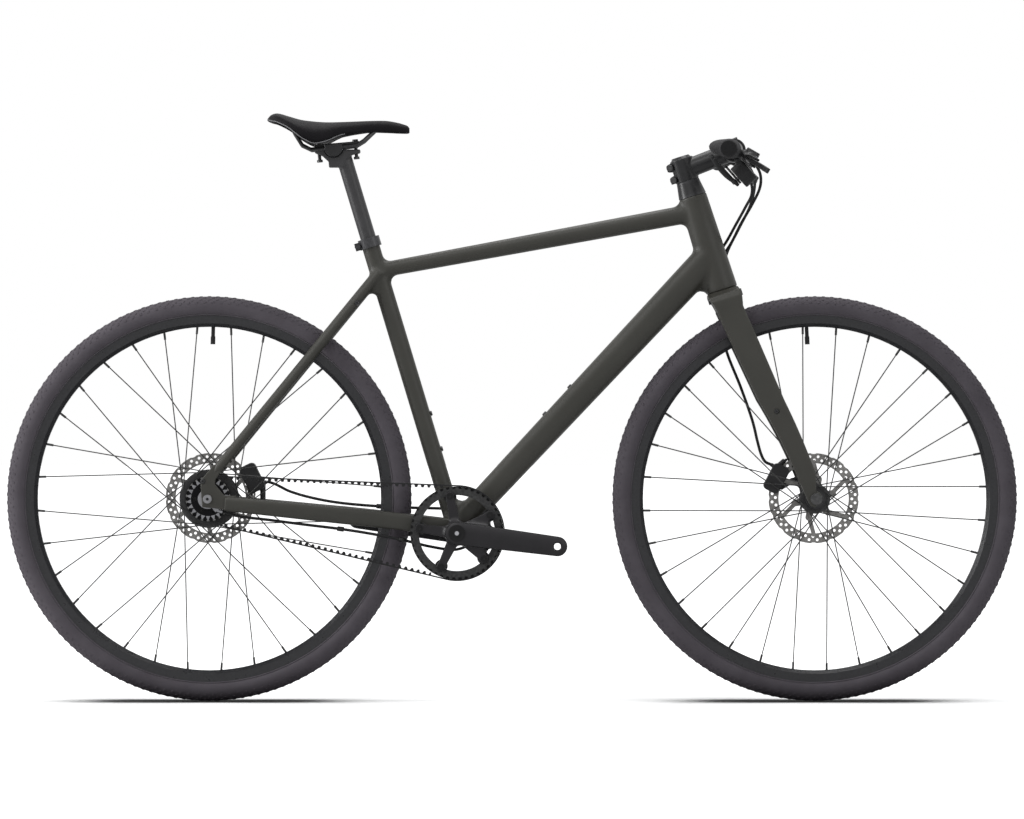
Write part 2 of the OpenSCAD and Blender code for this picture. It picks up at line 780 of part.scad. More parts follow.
// Wheels, drawn round a Z axis that points to the right of the bicycle

hub_end_r = 17;
bearing_outer_r = 14;
hub_play = 0.2;

module rim_outline() {
    h = rim_w / 2;
    lip = 6;
    polygon([[rim_in_r, -h * 0.5], [rim_in_r, h * 0.5], [rim_in_r + 6, h], [bead_r + lip, h],
             [bead_r + lip, h - 1.8], [bead_r, h - 1.8], [bead_r - 2.5, h - 6],
             [bead_r - 2.5, -h + 6], [bead_r, -h + 1.8], [bead_r + lip, -h + 1.8],
             [bead_r + lip, -h], [rim_in_r + 6, -h]]);
}

module rim(axle, valve_angle) {
    h = rim_w / 2;
    color("#1e1e20") side_view(axle) difference() {
        rotate_extrude($fn = wheel_fn) difference() {
            rim_outline();
            polygon([[rim_in_r + 2, -h * 0.45], [rim_in_r + 2, h * 0.45], [rim_in_r + 6.5, h - 2],
                     [bead_r - 3, h - 2.5], [bead_r - 4.5, h - 6.5], [bead_r - 4.5, -h + 6.5],
                     [bead_r - 3, -h + 2.5], [rim_in_r + 6.5, -h + 2]]);
        }
        rotate([0, 0, valve_angle]) rotate([0, 90, 0]) cylinder(d = valve_d + 1, h = wheel_r);
    }
}

module tyre(axle) {
    bead_gap = rim_w - 10;
    color("#33313a") side_view(axle) rotate_extrude($fn = wheel_fn) difference() {
        translate([tyre_mid_r, 0]) circle(d = tyre_w);
        translate([tyre_mid_r, 0]) circle(d = tyre_w - 2 * tyre_wall);
        translate([tyre_mid_r - tyre_w / 2 - 1, -bead_gap / 2]) square([tyre_w / 2, bead_gap]);
        rim_outline();
    }
}

valve_d = 6.5;

module inner_tube(axle, valve_angle) {
    tube_r = tyre_w / 2 - tyre_wall - side_gap;
    color("#161616") side_view(axle) union() {
        rotate_extrude($fn = wheel_fn) translate([tyre_mid_r, 0]) difference() {
            circle(r = tube_r);
            circle(r = tube_r - 1);
        }
        rotate([0, 0, valve_angle]) rotate([0, 90, 0]) {
            translate([0, 0, rim_in_r - valve_len])
                cylinder(d = valve_d, h = tyre_mid_r - tube_r + 0.5 - rim_in_r + valve_len);
            translate([0, 0, rim_in_r - valve_len]) cylinder(d = valve_d + 1.6, h = valve_len * 0.45);
        }
    }
}

// Rim end and hub end angles of spoke i, three crossings to each spoke
function spoke_side(i) = i % 2 == 0 ? 1 : -1;
function spoke_lead(i) = floor(i / 2) % 2 == 0 ? 1 : -1;
function spoke_hub_angle(i) = i * 360 / spoke_count + spoke_lead(i) * 2160 / spoke_count;
spoke_clear = 0.3;
spoke_rise = 1;
function spoke_hub_z(i) = spoke_side(i)
    * (flange_offset + spoke_lead(i) * (flange_t / 2 + spoke_d / 2 + spoke_clear)
        + (spoke_lead(i) > 0 ? spoke_rise : 0));
nipple_len = 12;

module spokes(axle, flange_r, start_angle) {
    color("#2a2a2a") side_view(axle) rotate([0, 0, start_angle])
        for (i = [0 : spoke_count - 1]) {
            a = spoke_hub_angle(i);
            b = i * 360 / spoke_count;
            z = spoke_hub_z(i);
            hub_p = [flange_r * cos(a), flange_r * sin(a), z];
            rim_p = [rim_in_r * cos(b), rim_in_r * sin(b), spoke_side(i) * 2];
            d = unit(rim_p - hub_p);
            rod(hub_p, rim_p, spoke_d / 2);
            rod(rim_p - nipple_len * d, rim_p + 1.5 * d, spoke_d);
            translate([hub_p.x, hub_p.y, spoke_side(i) * (flange_offset + spoke_rise / 2)])
                cylinder(d = spoke_d, h = flange_t + 2 * (spoke_d + spoke_clear) + spoke_rise,
                         center = true);
        }
}

module spoke_holes(flange_r, start_angle) {
    rotate([0, 0, start_angle]) for (i = [0 : spoke_count - 1]) rotate(spoke_hub_angle(i))
        translate([flange_r, 0, spoke_side(i) * flange_offset])
            cylinder(d = spoke_d + 2 * still_gap, h = flange_t + 2, center = true);
}

module hub_flanges(flange_r) {
    for (s = [-1, 1]) translate([0, 0, s * flange_offset])
        cylinder(r = flange_r + 4, h = flange_t, center = true);
}

module bearing_seats(hub_w, axle_d) {
    cylinder(d = axle_d + 6, h = hub_w, center = true);
    for (s = [-1, 1]) translate([0, 0, s * (hub_w / 2 - 6)])
        cylinder(r = bearing_outer_r, h = 8.1, center = true);
}

module bearing_rings(hub_w, axle_d) {
    for (s = [-1, 1]) translate([0, 0, s * (hub_w / 2 - 6)]) difference() {
        cylinder(r = bearing_outer_r - still_gap, h = 8, center = true);
        cylinder(d = axle_d + 2 * running_gap, h = 10, center = true);
    }
}

front_spoke_angle = 4;
rear_spoke_angle = 4;

module front_hub() {
    w = front_hub_w - 2 * hub_play - 4;
    color("#1d1d1f") side_view(front_axle_p) {
        difference() {
            union() {
                cylinder(r = hub_end_r - 1, h = 2 * flange_offset, center = true);
                cylinder(r = hub_end_r, h = w, center = true);
                hub_flanges(front_flange_r);
            }
            bearing_seats(w + 4, front_axle_d);
            spoke_holes(front_flange_r, front_spoke_angle);
        }
        bearing_rings(w + 4, front_axle_d);
    }
}

driver_r = 21;

module rear_hub() {
    left_end = rear_hub_w / 2 - 5 - hub_play;
    color("#1d1d1f") side_view(rear_axle_p) {
        difference() {
            union() {
                cylinder(r = rear_flange_r - 4, h = 2 * flange_offset, center = true);
                hub_flanges(rear_flange_r);
                translate([0, 0, -left_end]) cylinder(r = hub_end_r, h = left_end);
                translate([0, 0, flange_offset]) cylinder(r1 = rear_flange_r - 10, r2 = 30, h = 7);
            }
            cylinder(d = rear_axle_d + 2 * running_gap, h = 200, center = true);
            spoke_holes(rear_flange_r, rear_spoke_angle);
        }
    }
}

// Drive

// The belt lies on the rings with this gap
belt_gap = 0.1;

module belt_arc(r, from, to) {
    rotate([0, 0, from]) rotate_extrude(angle = to - from, $fn = wheel_fn)
        translate([r + belt_gap, 0]) square([belt_t - belt_gap, belt_w]);
}

module belt() {
    up = 90 + belt_slope;
    color("#18181a") side_view(side(rear_axle_p, -belt_line + belt_w / 2)) rotate([0, 0, -stay_slope]) {
        belt_arc(rear_ring_r, up, 360 - up);
        translate([chainstay_len, 0, 0]) belt_arc(front_ring_r, -up, up);
        for (s = [-1, 1]) rotate([0, 0, s * belt_slope])
            translate([0, s > 0 ? rear_ring_r + belt_gap : -rear_ring_r - belt_t, 0])
            cube([chainstay_len * cos(belt_slope), belt_t - belt_gap, belt_w]);
    }
}

module ring_teeth(teeth, ring_r, depth) {
    circle(r = ring_r - depth, $fn = 96);
    for (i = [0 : teeth - 1]) rotate(360 * (i + 0.5) / teeth)
        polygon([[ring_r - depth - 1, -3.4], [ring_r - 0.4, -2.2], [ring_r, -1.2], [ring_r, 1.2],
                 [ring_r - 0.4, 2.2], [ring_r - depth - 1, 3.4]]);
}

ring_w = 9;
ring_tab_t = 5;

module front_belt_ring() {
    bolt_r = ring_bolt_circle_d / 2;
    color("#1f1f21") side_view(side(bb, -belt_line + ring_w / 2)) difference() {
        linear_extrude(ring_w) difference() {
            ring_teeth(front_teeth, front_ring_r, 4);
            circle(r = front_ring_r - 15, $fn = 96);
        }
        for (i = [0 : 4]) rotate([0, 0, spider_angle + i * 72]) translate([bolt_r, 0, -1])
            cylinder(d = ring_bolt_d, h = ring_w + 2);
    }
    color("#1f1f21") side_view(side(bb, -belt_line + ring_w / 2))
        for (i = [0 : 4]) rotate([0, 0, spider_angle + i * 72]) linear_extrude(ring_tab_t)
            intersection() {
                difference() {
                    translate([bolt_r - 2, 0]) circle(r = 11);
                    translate([bolt_r, 0]) circle(d = ring_bolt_d);
                }
                circle(r = front_ring_r - 14, $fn = 96);
            }
}

spider_angle = 28.7;
ring_bolt_d = 8;
spider_y = belt_line + ring_w / 2;
spider_t = 5;
arm_y = spider_y + spider_t;
arm_t = 13;
arm_lap = 0.5;
boss_y = bb_shell_w / 2 + cup_w + 1;

module rear_belt_ring() {
    color("#b8b8b8") side_view(side(rear_axle_p, -belt_line + ring_w / 2)) difference() {
        linear_extrude(ring_w) ring_teeth(rear_teeth, rear_ring_r, 4);
        translate([0, 0, -1]) cylinder(d = rear_axle_d + 2 * running_gap, h = ring_w + 2);
        for (i = [0 : 5]) rotate([0, 0, i * 60]) translate([24, 0, -1])
            cylinder(d = 8, h = ring_w + 2);
    }
    color("#707070") side_view(side(rear_axle_p, -belt_line - ring_w / 2)) difference() {
        cylinder(r = driver_r - 4, h = 4);
        translate([0, 0, -1]) cylinder(d = rear_axle_d + 2 * running_gap, h = 10);
    }
}

// A crank arm along X, with its inner face at z = 0
module crank_arm(lap = 0) {
    linear_extrude(arm_t + lap) {
        circle(d = 40);
        translate([crank_len, 0]) circle(d = 34);
        polygon([[1, 20], [crank_len + 0.8, 17], [crank_len + 0.8, -17], [1, -20]]);
    }
}

module crank_bores(from) {
    translate([0, 0, from]) cylinder(d = spindle_d + 2 * still_gap, h = arm_y + arm_t - 2 - from);
    cylinder(d = 16, h = 200);
    translate([crank_len, 0, 0]) cylinder(d = pedal_hole_d, h = 200);
}

module crank_right() {
    color("#1c1c20") side_view(bb) difference() {
        union() {
            rotate([0, 0, crank_angle]) translate([0, 0, arm_y - arm_lap]) crank_arm(arm_lap);
            translate([0, 0, boss_y]) cylinder(r = 19, h = arm_y - boss_y + 1);
            translate([0, 0, spider_y]) linear_extrude(spider_t) for (i = [0 : 4])
                rotate(spider_angle + i * 72) {
                    polygon([[0, -11], [ring_bolt_circle_d / 2 - 6, -7],
                             [ring_bolt_circle_d / 2, -8], [ring_bolt_circle_d / 2, 8],
                             [ring_bolt_circle_d / 2 - 6, 7], [0, 11]]);
                    translate([ring_bolt_circle_d / 2, 0]) circle(r = 8);
                }
        }
        rotate([0, 0, crank_angle]) crank_bores(0);
        for (i = [0 : 4]) rotate([0, 0, spider_angle + i * 72])
            translate([ring_bolt_circle_d / 2, 0, spider_y - 1])
                cylinder(d = ring_bolt_d, h = spider_t + 2);
    }
}

module crank_left() {
    color("#1c1c20") mirror([0, 1, 0]) side_view(bb) rotate([0, 0, crank_angle + 180])
        difference() {
            union() {
                translate([0, 0, arm_y]) crank_arm();
                translate([0, 0, boss_y]) cylinder(r = 19, h = arm_y - boss_y + 1);
            }
            crank_bores(0);
        }
}

module crank_spindle() {
    w = 2 * (arm_y + arm_t - 2);
    color("#6a6a6a") side_view(bb) difference() {
        cylinder(d = spindle_d, h = w, center = true);
        cylinder(d = 12, h = w + 2, center = true);
    }
}

module crank_bolts() {
    color("#151515") both_sides() side_view(bb) translate([0, 0, arm_y + arm_t]) {
        cylinder(d = 29, h = 3);
        translate([0, 0, -18]) cylinder(d = 12 - 2 * still_gap, h = 18);
    }
    color("silver") both_sides() side_view(bb)
        translate([0, 0, arm_y + arm_t + 3]) cylinder(d = 12.8, h = 0.8);
    color("#151515") side_view(side(bb, -belt_line + ring_w / 2)) for (i = [0 : 4])
        rotate([0, 0, spider_angle + i * 72]) translate([ring_bolt_circle_d / 2, 0, 0]) difference() {
            union() {
                translate([0, 0, -1.5]) cylinder(d = 12, h = 1.5);
                cylinder(d = ring_bolt_d, h = ring_w + spider_t);
                translate([0, 0, ring_w + spider_t]) cylinder(d = 12, h = 1.5);
            }
            translate([0, 0, -2]) cylinder(d = 4.6, h = 40);
        }
}

// Seat

module seatpost() {
    head_w = 30;
    color("#1b1b1e") difference() {
        union() {
            seat_frame(post_top_s - seatpost_len + 20)
                cylinder(d = seatpost_d, h = seatpost_len - 20);
            side_view(clamp_p + [0, head_w / 2, 0]) linear_extrude(head_w)
                polygon([[-33, -3], [-33, -9], [-20, -14], [-9, -24], [-8, -34], [18, -34],
                         [22, -20], [32, -12], [46, -9], [46, -3]]);
        }
        seat_frame(post_top_s - seatpost_len) cylinder(d = seatpost_d - 5, h = seatpost_len - 12);
        clamp_frame() rotate([90, 0, 0])
            cylinder(r = cradle_r + running_gap, h = 60, center = true);
        clamp_frame() for (x = clamp_bolt_x) translate([x, 0, -40])
            cylinder(d = clamp_bolt_d + 1.6, h = 80);
        seat_frame(0) translate([-50, -50, post_top_s - seatpost_len]) cube([100, 100, 20]);
    }
}

cradle_r = 16;
clamp_bolt_x = [-26, 38];

module rail_grooves() {
    for (y = [-1, 1]) translate([0, y * rail_spacing / 2, 0]) rotate([0, 90, 0])
        cylinder(d = rail_d + 2 * running_gap, h = 100, center = true);
}

module saddle_clamp() {
    w = rail_spacing + rail_d + 4;
    color("#1b1b1e") clamp_frame() difference() {
        union() {
            difference() {
                rotate([90, 0, 0]) cylinder(r = cradle_r, h = w, center = true);
                translate([-50, -50, -0.5]) cube([100, 100, 60]);
            }
            translate([-15, -w / 2, 0.5]) cube([30, w, rail_d / 2 + 3]);
            translate([-33, -9, 2.5]) cube([78, 18, 5.5]);
        }
        rail_grooves();
        for (x = clamp_bolt_x) translate([x, 0, 0]) cylinder(d = clamp_bolt_d + 0.6, h = 20);
    }
}

module saddle_clamp_bolts() {
    color("#555555") clamp_frame() for (x = clamp_bolt_x) translate([x, 0, 0]) {
        translate([0, 0, -20]) cylinder(d = clamp_bolt_d, h = 30);
        translate([0, 0, 8]) cylinder(d = clamp_bolt_d + 4, h = 3.5);
        translate([0, 0, -23]) cylinder(d = clamp_bolt_d + 4, h = 4.5);
    }
}

rail_straight = 39;

// The left rail's points in the clamp's frame, from the saddle's wing to its nose
rail_points = [[-69, 31.5, 41.2], [-63, 30, 27], [-54, 25, 9], [-rail_straight, 22, 0],
               [rail_straight, 22, 0], [53, 18, 7], [73, 11, 22.6]];

module saddle_rails() {
    color("#2a2a2a") clamp_frame() both_sides() cord(rail_points, rail_d, 16);
}

// Saddle outline: distance from the clamp, half width, height of the crown and of the lower edge
saddle_stations = [
    [-114.5, 0.28, 50, 46.5], [-108, 0.53, 57, 44], [-96, 0.76, 59.5, 41], [-76, 0.94, 54, 30.5],
    [-56, 1, 48.5, 15], [-36, 0.975, 46, 4.5], [-21, 0.9, 44.8, 5.5], [-6, 0.77, 44.5, 10.5],
    [14, 0.58, 45.1, 19.5], [39, 0.42, 46.3, 24], [64, 0.33, 47.3, 27], [89, 0.28, 47.1, 26.5],
    [109, 0.235, 44, 25.5], [122, 0.18, 39, 25], [129, 0.11, 33.5, 26], [131.2, 0.04, 30.5, 27.5]];

// One arch of points over a station, from one lower edge to the other
function arch(s, cut, drop, steps = 18) =
    let (w = s[1] * saddle_w / 2 - cut, h = max(s[2] - drop - s[3], 0.2))
    [for (k = [0 : steps]) let (a = -90 + 180 * k / steps)
        clamp_p + [s[0], w * sin(a) * (1 - 0.07 * sin(a) ^ 6), s[3] + h * pow(cos(a), 0.62)]];

function reversed(a) = [for (i = [len(a) - 1 : -1 : 0]) a[i]];

module saddle_cap(stations, cut, drop, wall, wall_top) {
    skin([for (s = stations)
        let (c = min(cut, s[1] * saddle_w / 4), e = min(wall, s[1] * saddle_w / 6))
        concat(arch(s, c, drop), reversed(arch(s, c + e, drop + wall_top)))]);
}

module saddle_cover() {
    color("#232325") saddle_cap(saddle_stations, 0, 0, 5, padding_t);
}

module saddle_shell() {
    color("#2b2b2d") saddle_cap([for (i = [3 : 12]) saddle_stations[i]], 6.5,
        padding_t + 2 * side_gap, 2.4, 2.6);
}

// Steering

module crown_block() {
    w = leg_top_y + leg_top_w / 2;
    d = leg_top_h / 2;
    difference() {
        intersection() {
            steer_frame(-crown_s) side_view([0, 0, 0]) linear_extrude(3 * w, center = true) {
                polygon([[-d - 4, 0], [d + 4, 0], [d + 7, -9], [d + 6, -20], [d + 3, -crown_h],
                         [3 - d, -crown_h], [-d, -20], [-d - 5, -9]]);
            }
            steer_frame(-crown_s) rotate([90, 0, 90]) linear_extrude(5 * w, center = true)
                polygon([[-head_bottom_d / 2, 0], [head_bottom_d / 2, 0], [w - 5, -7], [w, -16],
                         [w, -crown_h], [-w, -crown_h], [-w, -16], [5 - w, -7]]);
        }
        side_view(front_axle_p)
            cylinder(r = wheel_r + 6, h = tyre_w + 12, center = true, $fn = wheel_fn);
    }
}

steerer_top_s = stem_height + stem_clamp_h / 2 - 2;

crown_screw_s = crown_s + 12;

// The two screws of the crown, in front and behind, or the seats for them
module crown_screws(grow) {
    for (x = [-24.5, 28.5]) steer_frame(-crown_screw_s) rotate([0, sign(x) * 90, 0]) {
        translate([0, 0, abs(x) - 8]) cylinder(d = screw_d, h = 9);
        translate([0, 0, abs(x)]) cylinder(d = 12 + grow, h = 4 + 20 * grow);
    }
}

module fork_crown() {
    color("#3e3d38") {
        difference() {
            crown_block();
            crown_screws(side_gap);
        }
        steer_frame(-crown_s - 6) cylinder(d = steerer_d, h = crown_s + 6 + steerer_top_s);
        steer_frame(-crown_s - 1) cylinder(d = steerer_d + 8, h = 1.4);
    }
}

// The left leg: its tapered outline from the side, cut to its taper from the front
module fork_leg_left() {
    len = norm(front_axle_p - leg_top_p);
    h0 = leg_top_h / 2;
    h1 = leg_end_h / 2;
    side_slope = atan2(front_axle_p.x - leg_top_p.x, leg_top_p.z - front_axle_p.z);
    intersection() {
        side_view(leg_top_p) rotate([0, 0, side_slope]) linear_extrude(200, center = true) {
            translate([0, -len]) circle(r = h1 - 1);
            polygon([[-h0, 60], [h0, 60], [h0, -60], [h1, -len + 30], [h1 - 1, -len],
                     [1 - h1, -len], [-h1, -len + 30], [-h0, -60]]);
        }
        rotate([90, 0, 90]) linear_extrude(wheelbase, center = true)
            polygon([[leg_top_y - leg_top_w / 2, leg_top_p.z + 60],
                     [leg_top_y + leg_top_w / 2, leg_top_p.z + 60],
                     [leg_top_y + leg_top_w / 2, leg_top_p.z - 20],
                     [leg_end_y + leg_end_w / 2 - 0.5, wheel_r + 30],
                     [leg_end_y + leg_end_w / 2 - 0.5, wheel_r - 30],
                     [leg_end_y - leg_end_w / 2, wheel_r - 30],
                     [leg_end_y - leg_end_w / 2, wheel_r + 40],
                     [leg_top_y - leg_top_w / 2, leg_top_p.z - 40]]);
        steer_frame(-crown_s - crown_h - 600) translate([-300, -300, 0])
            cube([900, 600, 600]);
    }
}

fork_screw_p = leg_top_p + 0.56 * (front_axle_p - leg_top_p);
fork_screw_y = leg_top_y + 0.56 * (leg_end_y - leg_top_y) + leg_end_w / 2 + 1.4;

module fork_legs() {
    color("#3e3d38") both_sides() difference() {
        union() {
            fork_leg_left();
            side_view(side(front_axle_p, leg_end_y)) cylinder(d = 26, h = leg_end_w / 2 + 0.5);
        }
        side_view(front_axle_p)
            cylinder(d = front_axle_d + 2 * still_gap, h = 200, center = true);
        screw_hole(side(fork_screw_p, fork_screw_y), across, screw_d, screw_d * 1.8, 8);
    }
}

module headset_cover() {
    color("#1b1b1e") {
        steer_frame(side_gap) difference() {
            cylinder(d1 = head_top_d, d2 = head_top_d - 9, h = stem_height - stem_clamp_h / 2 - side_gap);
            translate([0, 0, -1]) cylinder(d = steerer_d + 2 * still_gap, h = 80);
        }
        steer_frame(stem_height + stem_clamp_h / 2) difference() {
            cylinder(d1 = 36, d2 = 30, h = 4);
            translate([0, 0, 2]) cylinder(d = 12, h = 4);
        }
    }
}

stem_wall = 6;

module stem_extension(grow, from, to) {
    steer_frame(stem_height) rotate([0, 90 - stem_rise, 0])
        translate([0, 0, from]) cylinder(d = stem_d + grow, h = to - from);
}

bar_clamp_w = 44;
faceplate_gap = 2;

module bar_clamp_ring() {
    translate(bar_p) rotate([90, 0, 0])
        cylinder(d = bar_clamp_d + 9, h = bar_clamp_w, center = true);
}

// The half space in front of the split of the bar clamp
module front_of_split(offset) {
    translate(bar_p) rotate([0, -(90 - head_angle) - stem_rise, 0])
        translate([offset, -60, -60]) cube([120, 120, 120]);
}

module bar_bore() {
    translate(bar_p) rotate([90, 0, 0]) cylinder(d = bar_clamp_d, h = 80, center = true);
}

module stem() {
    color("#1b1b1e") difference() {
        union() {
            steer_frame(stem_height - stem_clamp_h / 2)
                cylinder(d = steerer_d + 2 * stem_wall, h = stem_clamp_h);
            steer_frame(stem_height - stem_clamp_h / 2 + 2)
                translate([-steerer_d / 2 - stem_wall - 8, -10, 0]) cube([14, 20, stem_clamp_h - 4]);
            stem_extension(0, 0, stem_len);
            bar_clamp_ring();
        }
        steer_frame(0) cylinder(d = steerer_d + 2 * still_gap, h = 200);
        steer_frame(0) translate([-50, -1, 0]) cube([50, 2, 200]);
        front_of_split(0);
        bar_bore();
        stem_pinch_screws();
    }
}

module stem_faceplate() {
    color("#1b1b1e") difference() {
        intersection() {
            bar_clamp_ring();
            front_of_split(faceplate_gap);
        }
        bar_bore();
        faceplate_screws();
    }
}

module stem_pinch_screws() {
    for (z = [-12, 10]) steer_frame(stem_height + z)
        translate([-steerer_d / 2 - stem_wall - 4, 0, 0]) rotate([90, 0, 0]) {
            cylinder(d = screw_d, h = 20, center = true);
            translate([0, 0, 10]) cylinder(d = screw_d * 2, h = 4);
        }
}

module faceplate_screws() {
    translate(bar_p) rotate([0, 90 - (90 - head_angle) - stem_rise, 0])
        for (x = [-1, 1], y = [-1, 1])
            translate([x * (bar_clamp_d / 2 + 2.4), y * (bar_clamp_w / 2 - 7), faceplate_gap])
                cylinder(d = 3.6, h = 11);
}

module steering_screws() {
    color("#2a2a2a") {
        stem_pinch_screws();
        faceplate_screws();
        crown_screws(0);
        both_sides() screw(side(fork_screw_p, fork_screw_y), across, screw_d, screw_d * 1.8, 2.5, 8);
    }
}

module handlebar() {
    color("#1b1b1e") difference() {
        union() {
            translate(bar_p) rotate([90, 0, 0])
                cylinder(d = bar_clamp_d, h = 2 * bar_taper_start, center = true);
            both_sides() bar_frame(bar_taper_start) {
                translate([0, 0, -bar_root]) cylinder(d1 = bar_clamp_d - 1, d2 = bar_d,
                    h = bar_taper_end - bar_taper_start + bar_root);
                cylinder(d = bar_d, h = bar_half - 2 - bar_taper_start);
            }
        }
        both_sides() bar_frame(bar_taper_end) cylinder(d = bar_d - 5, h = bar_half);
    }
}

module grips() {
    color("#232325") both_sides() bar_frame(grip_start) difference() {
        hull() {
            cylinder(d = grip_d - 4, h = grip_len - 3);
            translate([0, 0, 4]) cylinder(d = grip_d, h = grip_len - 10);
            translate([-26, 4, 34]) cylinder(d = 12, h = grip_len - 60);
            translate([-10, 2, grip_len - 14]) cylinder(d = 20, h = 10);
        }
        translate([0, 0, -1]) cylinder(d = bar_d + 2 * still_gap, h = grip_len + 2);
    }
}

module bar_end_plugs() {
    color("#111111") both_sides() bar_frame(bar_half - 4) {
        translate([0, 0, -14]) cylinder(d = bar_d - 5 - 2 * still_gap, h = 16);
        translate([0, 0, 2]) cylinder(d = bar_d + 4, h = 3);
    }
}

lever_pivot = [44, 24];
lever_t = 9;

module lever_frame() {
    bar_frame(lever_clamp_s) rotate([0, 0, -lever_drop]) children();
}

// A brake lever bracket for the right side: clamp, master cylinder, reservoir and pivot ears
module lever_bracket() {
    ear_t = 4;
    lever_frame() difference() {
        union() {
            cylinder(d = bar_d + 9, h = 13, center = true);
            translate([8, -7, -6.5]) cube([22, 14, 13]);
            translate([34, 0, -36]) cylinder(d = 19, h = 52);
            translate([34, 10, -13]) rotate([90, 0, 0])
                linear_extrude(14, center = true) rounded_rect(24, 42, 7);
            for (s = [-1, 1])
                translate([lever_pivot.x, s * (lever_t / 2 + ear_t / 2 + 0.3), lever_pivot[1]])
                rotate([90, 0, 0]) {
                    cylinder(d = 16, h = ear_t, center = true);
                    translate([-12, -12, -ear_t / 2]) cube([14, 14, ear_t]);
                }
        }
        cylinder(d = bar_d + 2 * still_gap, h = 40, center = true);
        translate([0, -lever_t / 2 - 0.3, 16]) cube([80, lever_t + 0.6, 40]);
        lever_pin(0);
    }
}

module lever_pin(gap) {
    translate([lever_pivot.x, 0, lever_pivot[1]]) rotate([90, 0, 0])
        cylinder(d = 5 + 2 * gap, h = lever_t + 12, center = true);
}

module brake_lever_brackets() {
    color("#2b2b2d") both_sides() lever_bracket();
}

module lever_pins() {
    color("#8a8a8a") {
        both_sides() lever_frame() lever_pin(0);
        shifter_frame() translate([-39, shift_pivot_y, 0]) rotate([0, 90, 0])
            cylinder(d = 6, h = 35);
    }
}

module brake_lever() {
    lever_frame() difference() {
        rotate([90, 0, 0]) linear_extrude(lever_t, center = true) {
            translate([lever_pivot.x, lever_pivot[1]]) circle(d = 14);
            polygon([[lever_pivot.x - 6, 28], [lever_pivot.x + 5, 19], [62, 40], [74, 66],
                     [75, 92], [74, 112], [78, 126], [75, 131], [70, 126], [65, 112],
                     [66, 90], [64, 68], [54, 48]]);
            translate([75, 128]) circle(d = 7);
        }
        lever_pin(running_gap);
    }
}

module brake_lever_right() {
    color("#1b1b1e") brake_lever();
}

module brake_lever_left() {
    color("#1b1b1e") mirror([0, 1, 0]) brake_lever();
}

shift_roll = 42;
shift_pivot_y = -44;

module shifter_frame() {
    bar_frame(shift_clamp_s) rotate([0, 0, shift_roll]) children();
}

module shifter_body() {
    color("#26262a") shifter_frame() difference() {
        union() {
            cylinder(d = bar_d + 9, h = 13, center = true);
            translate([-9, -26, -6.5]) cube([9, 22, 13]);
            translate([-25, shift_pivot_y, 0]) rotate([0, 90, 0])
                linear_extrude(25) rounded_rect(42, 42, 12);
            translate([-12, shift_pivot_y + 6, -29]) cylinder(d = 9, h = 10);
        }
        cylinder(d = bar_d + 2 * still_gap, h = 80, center = true);
        translate([-60, shift_pivot_y, 0]) rotate([0, 90, 0]) cylinder(d = 6, h = 60);
    }
}

// A thumb lever in the plane square to the pivot, as a round eye with a curved arm
module thumb_lever(x0, t, reach_y, reach_z, w) {
    shifter_frame() translate([x0, shift_pivot_y, 0]) rotate([0, -90, 0]) difference() {
        union() {
            cylinder(d = 18, h = t);
            linear_extrude(t) {
                polygon([[-7, 0], [7, 0], [reach_z + w, reach_y - 6], [reach_z - w, reach_y]]);
                translate([reach_z, reach_y - 2]) circle(r = w);
            }
        }
        translate([0, 0, -1]) cylinder(d = 6 + 2 * running_gap, h = t + 2);
    }
}

module shift_lever_main() {
    color("#26262a") thumb_lever(-31.5, 5, 58, 12, 7);
}

module shift_lever_release() {
    color("#26262a") thumb_lever(-26, 4, 32, -16, 5);
}

module front_axle() {
    color("#777777") side_view(front_axle_p) union() {
        cylinder(d = front_axle_d, h = front_hub_w + 2 * leg_end_w + 8, center = true);
        for (s = [-1, 1]) {
            translate([0, 0, s * (front_hub_w / 2 + leg_end_w + 3)])
                cylinder(d = 20, h = 4, center = true);
            translate([0, 0, s * (front_hub_w / 2 - 1)]) cylinder(d = 20, h = 2, center = true);
        }
    }
}

module front_tyre() { tyre(front_axle_p); }
module rear_tyre() { tyre(rear_axle_p); }
module front_rim() { rim(front_axle_p, front_valve_angle); }
module rear_rim() { rim(rear_axle_p, rear_valve_angle); }
module front_inner_tube() { inner_tube(front_axle_p, front_valve_angle); }
module rear_inner_tube() { inner_tube(rear_axle_p, rear_valve_angle); }
module front_spokes() { spokes(front_axle_p, front_flange_r, front_spoke_angle); }
module rear_spokes() { spokes(rear_axle_p, rear_flange_r, rear_spoke_angle); }
module front_rotor() { side_view(side(front_axle_p, front_rotor_y)) rotor_body(); }
module rear_rotor() { side_view(side(rear_axle_p, rear_rotor_y)) rotor_body(); }

front_valve_angle = 92.7;
rear_valve_angle = 88.7;

head_tube();
top_tube();
down_tube();
seat_tube();
bottom_bracket_shell();
chainstays();
seatstays();
dropouts();
frame_screws();
seat_clamp();
headset_bearings();
bottom_bracket_cups();
rear_axle();
rear_caliper();
rear_brake_hose();
shift_cable();
belt();
seatpost();
saddle_clamp();
saddle_clamp_bolts();
saddle_cover();
saddle_shell();
saddle_rails();
fork_crown();
fork_legs();
headset_cover();
stem();
stem_faceplate();
steering_screws();
handlebar();
grips();
bar_end_plugs();
brake_lever_brackets();
lever_pins();
shifter_body();
front_brake_hose();
front_caliper();
front_axle();
brake_lever_right();
brake_lever_left();
shift_lever_main();
shift_lever_release();
front_tyre();
front_rim();
front_spokes();
front_hub();
front_rotor();
front_inner_tube();
rear_tyre();
rear_rim();
rear_spokes();
rear_hub();
rear_rotor();
rear_inner_tube();
crank_right();
crank_left();
crank_spindle();
front_belt_ring();
crank_bolts();
rear_belt_ring();
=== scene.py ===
import bpy, bmesh, math
from mathutils import Vector as V, Matrix


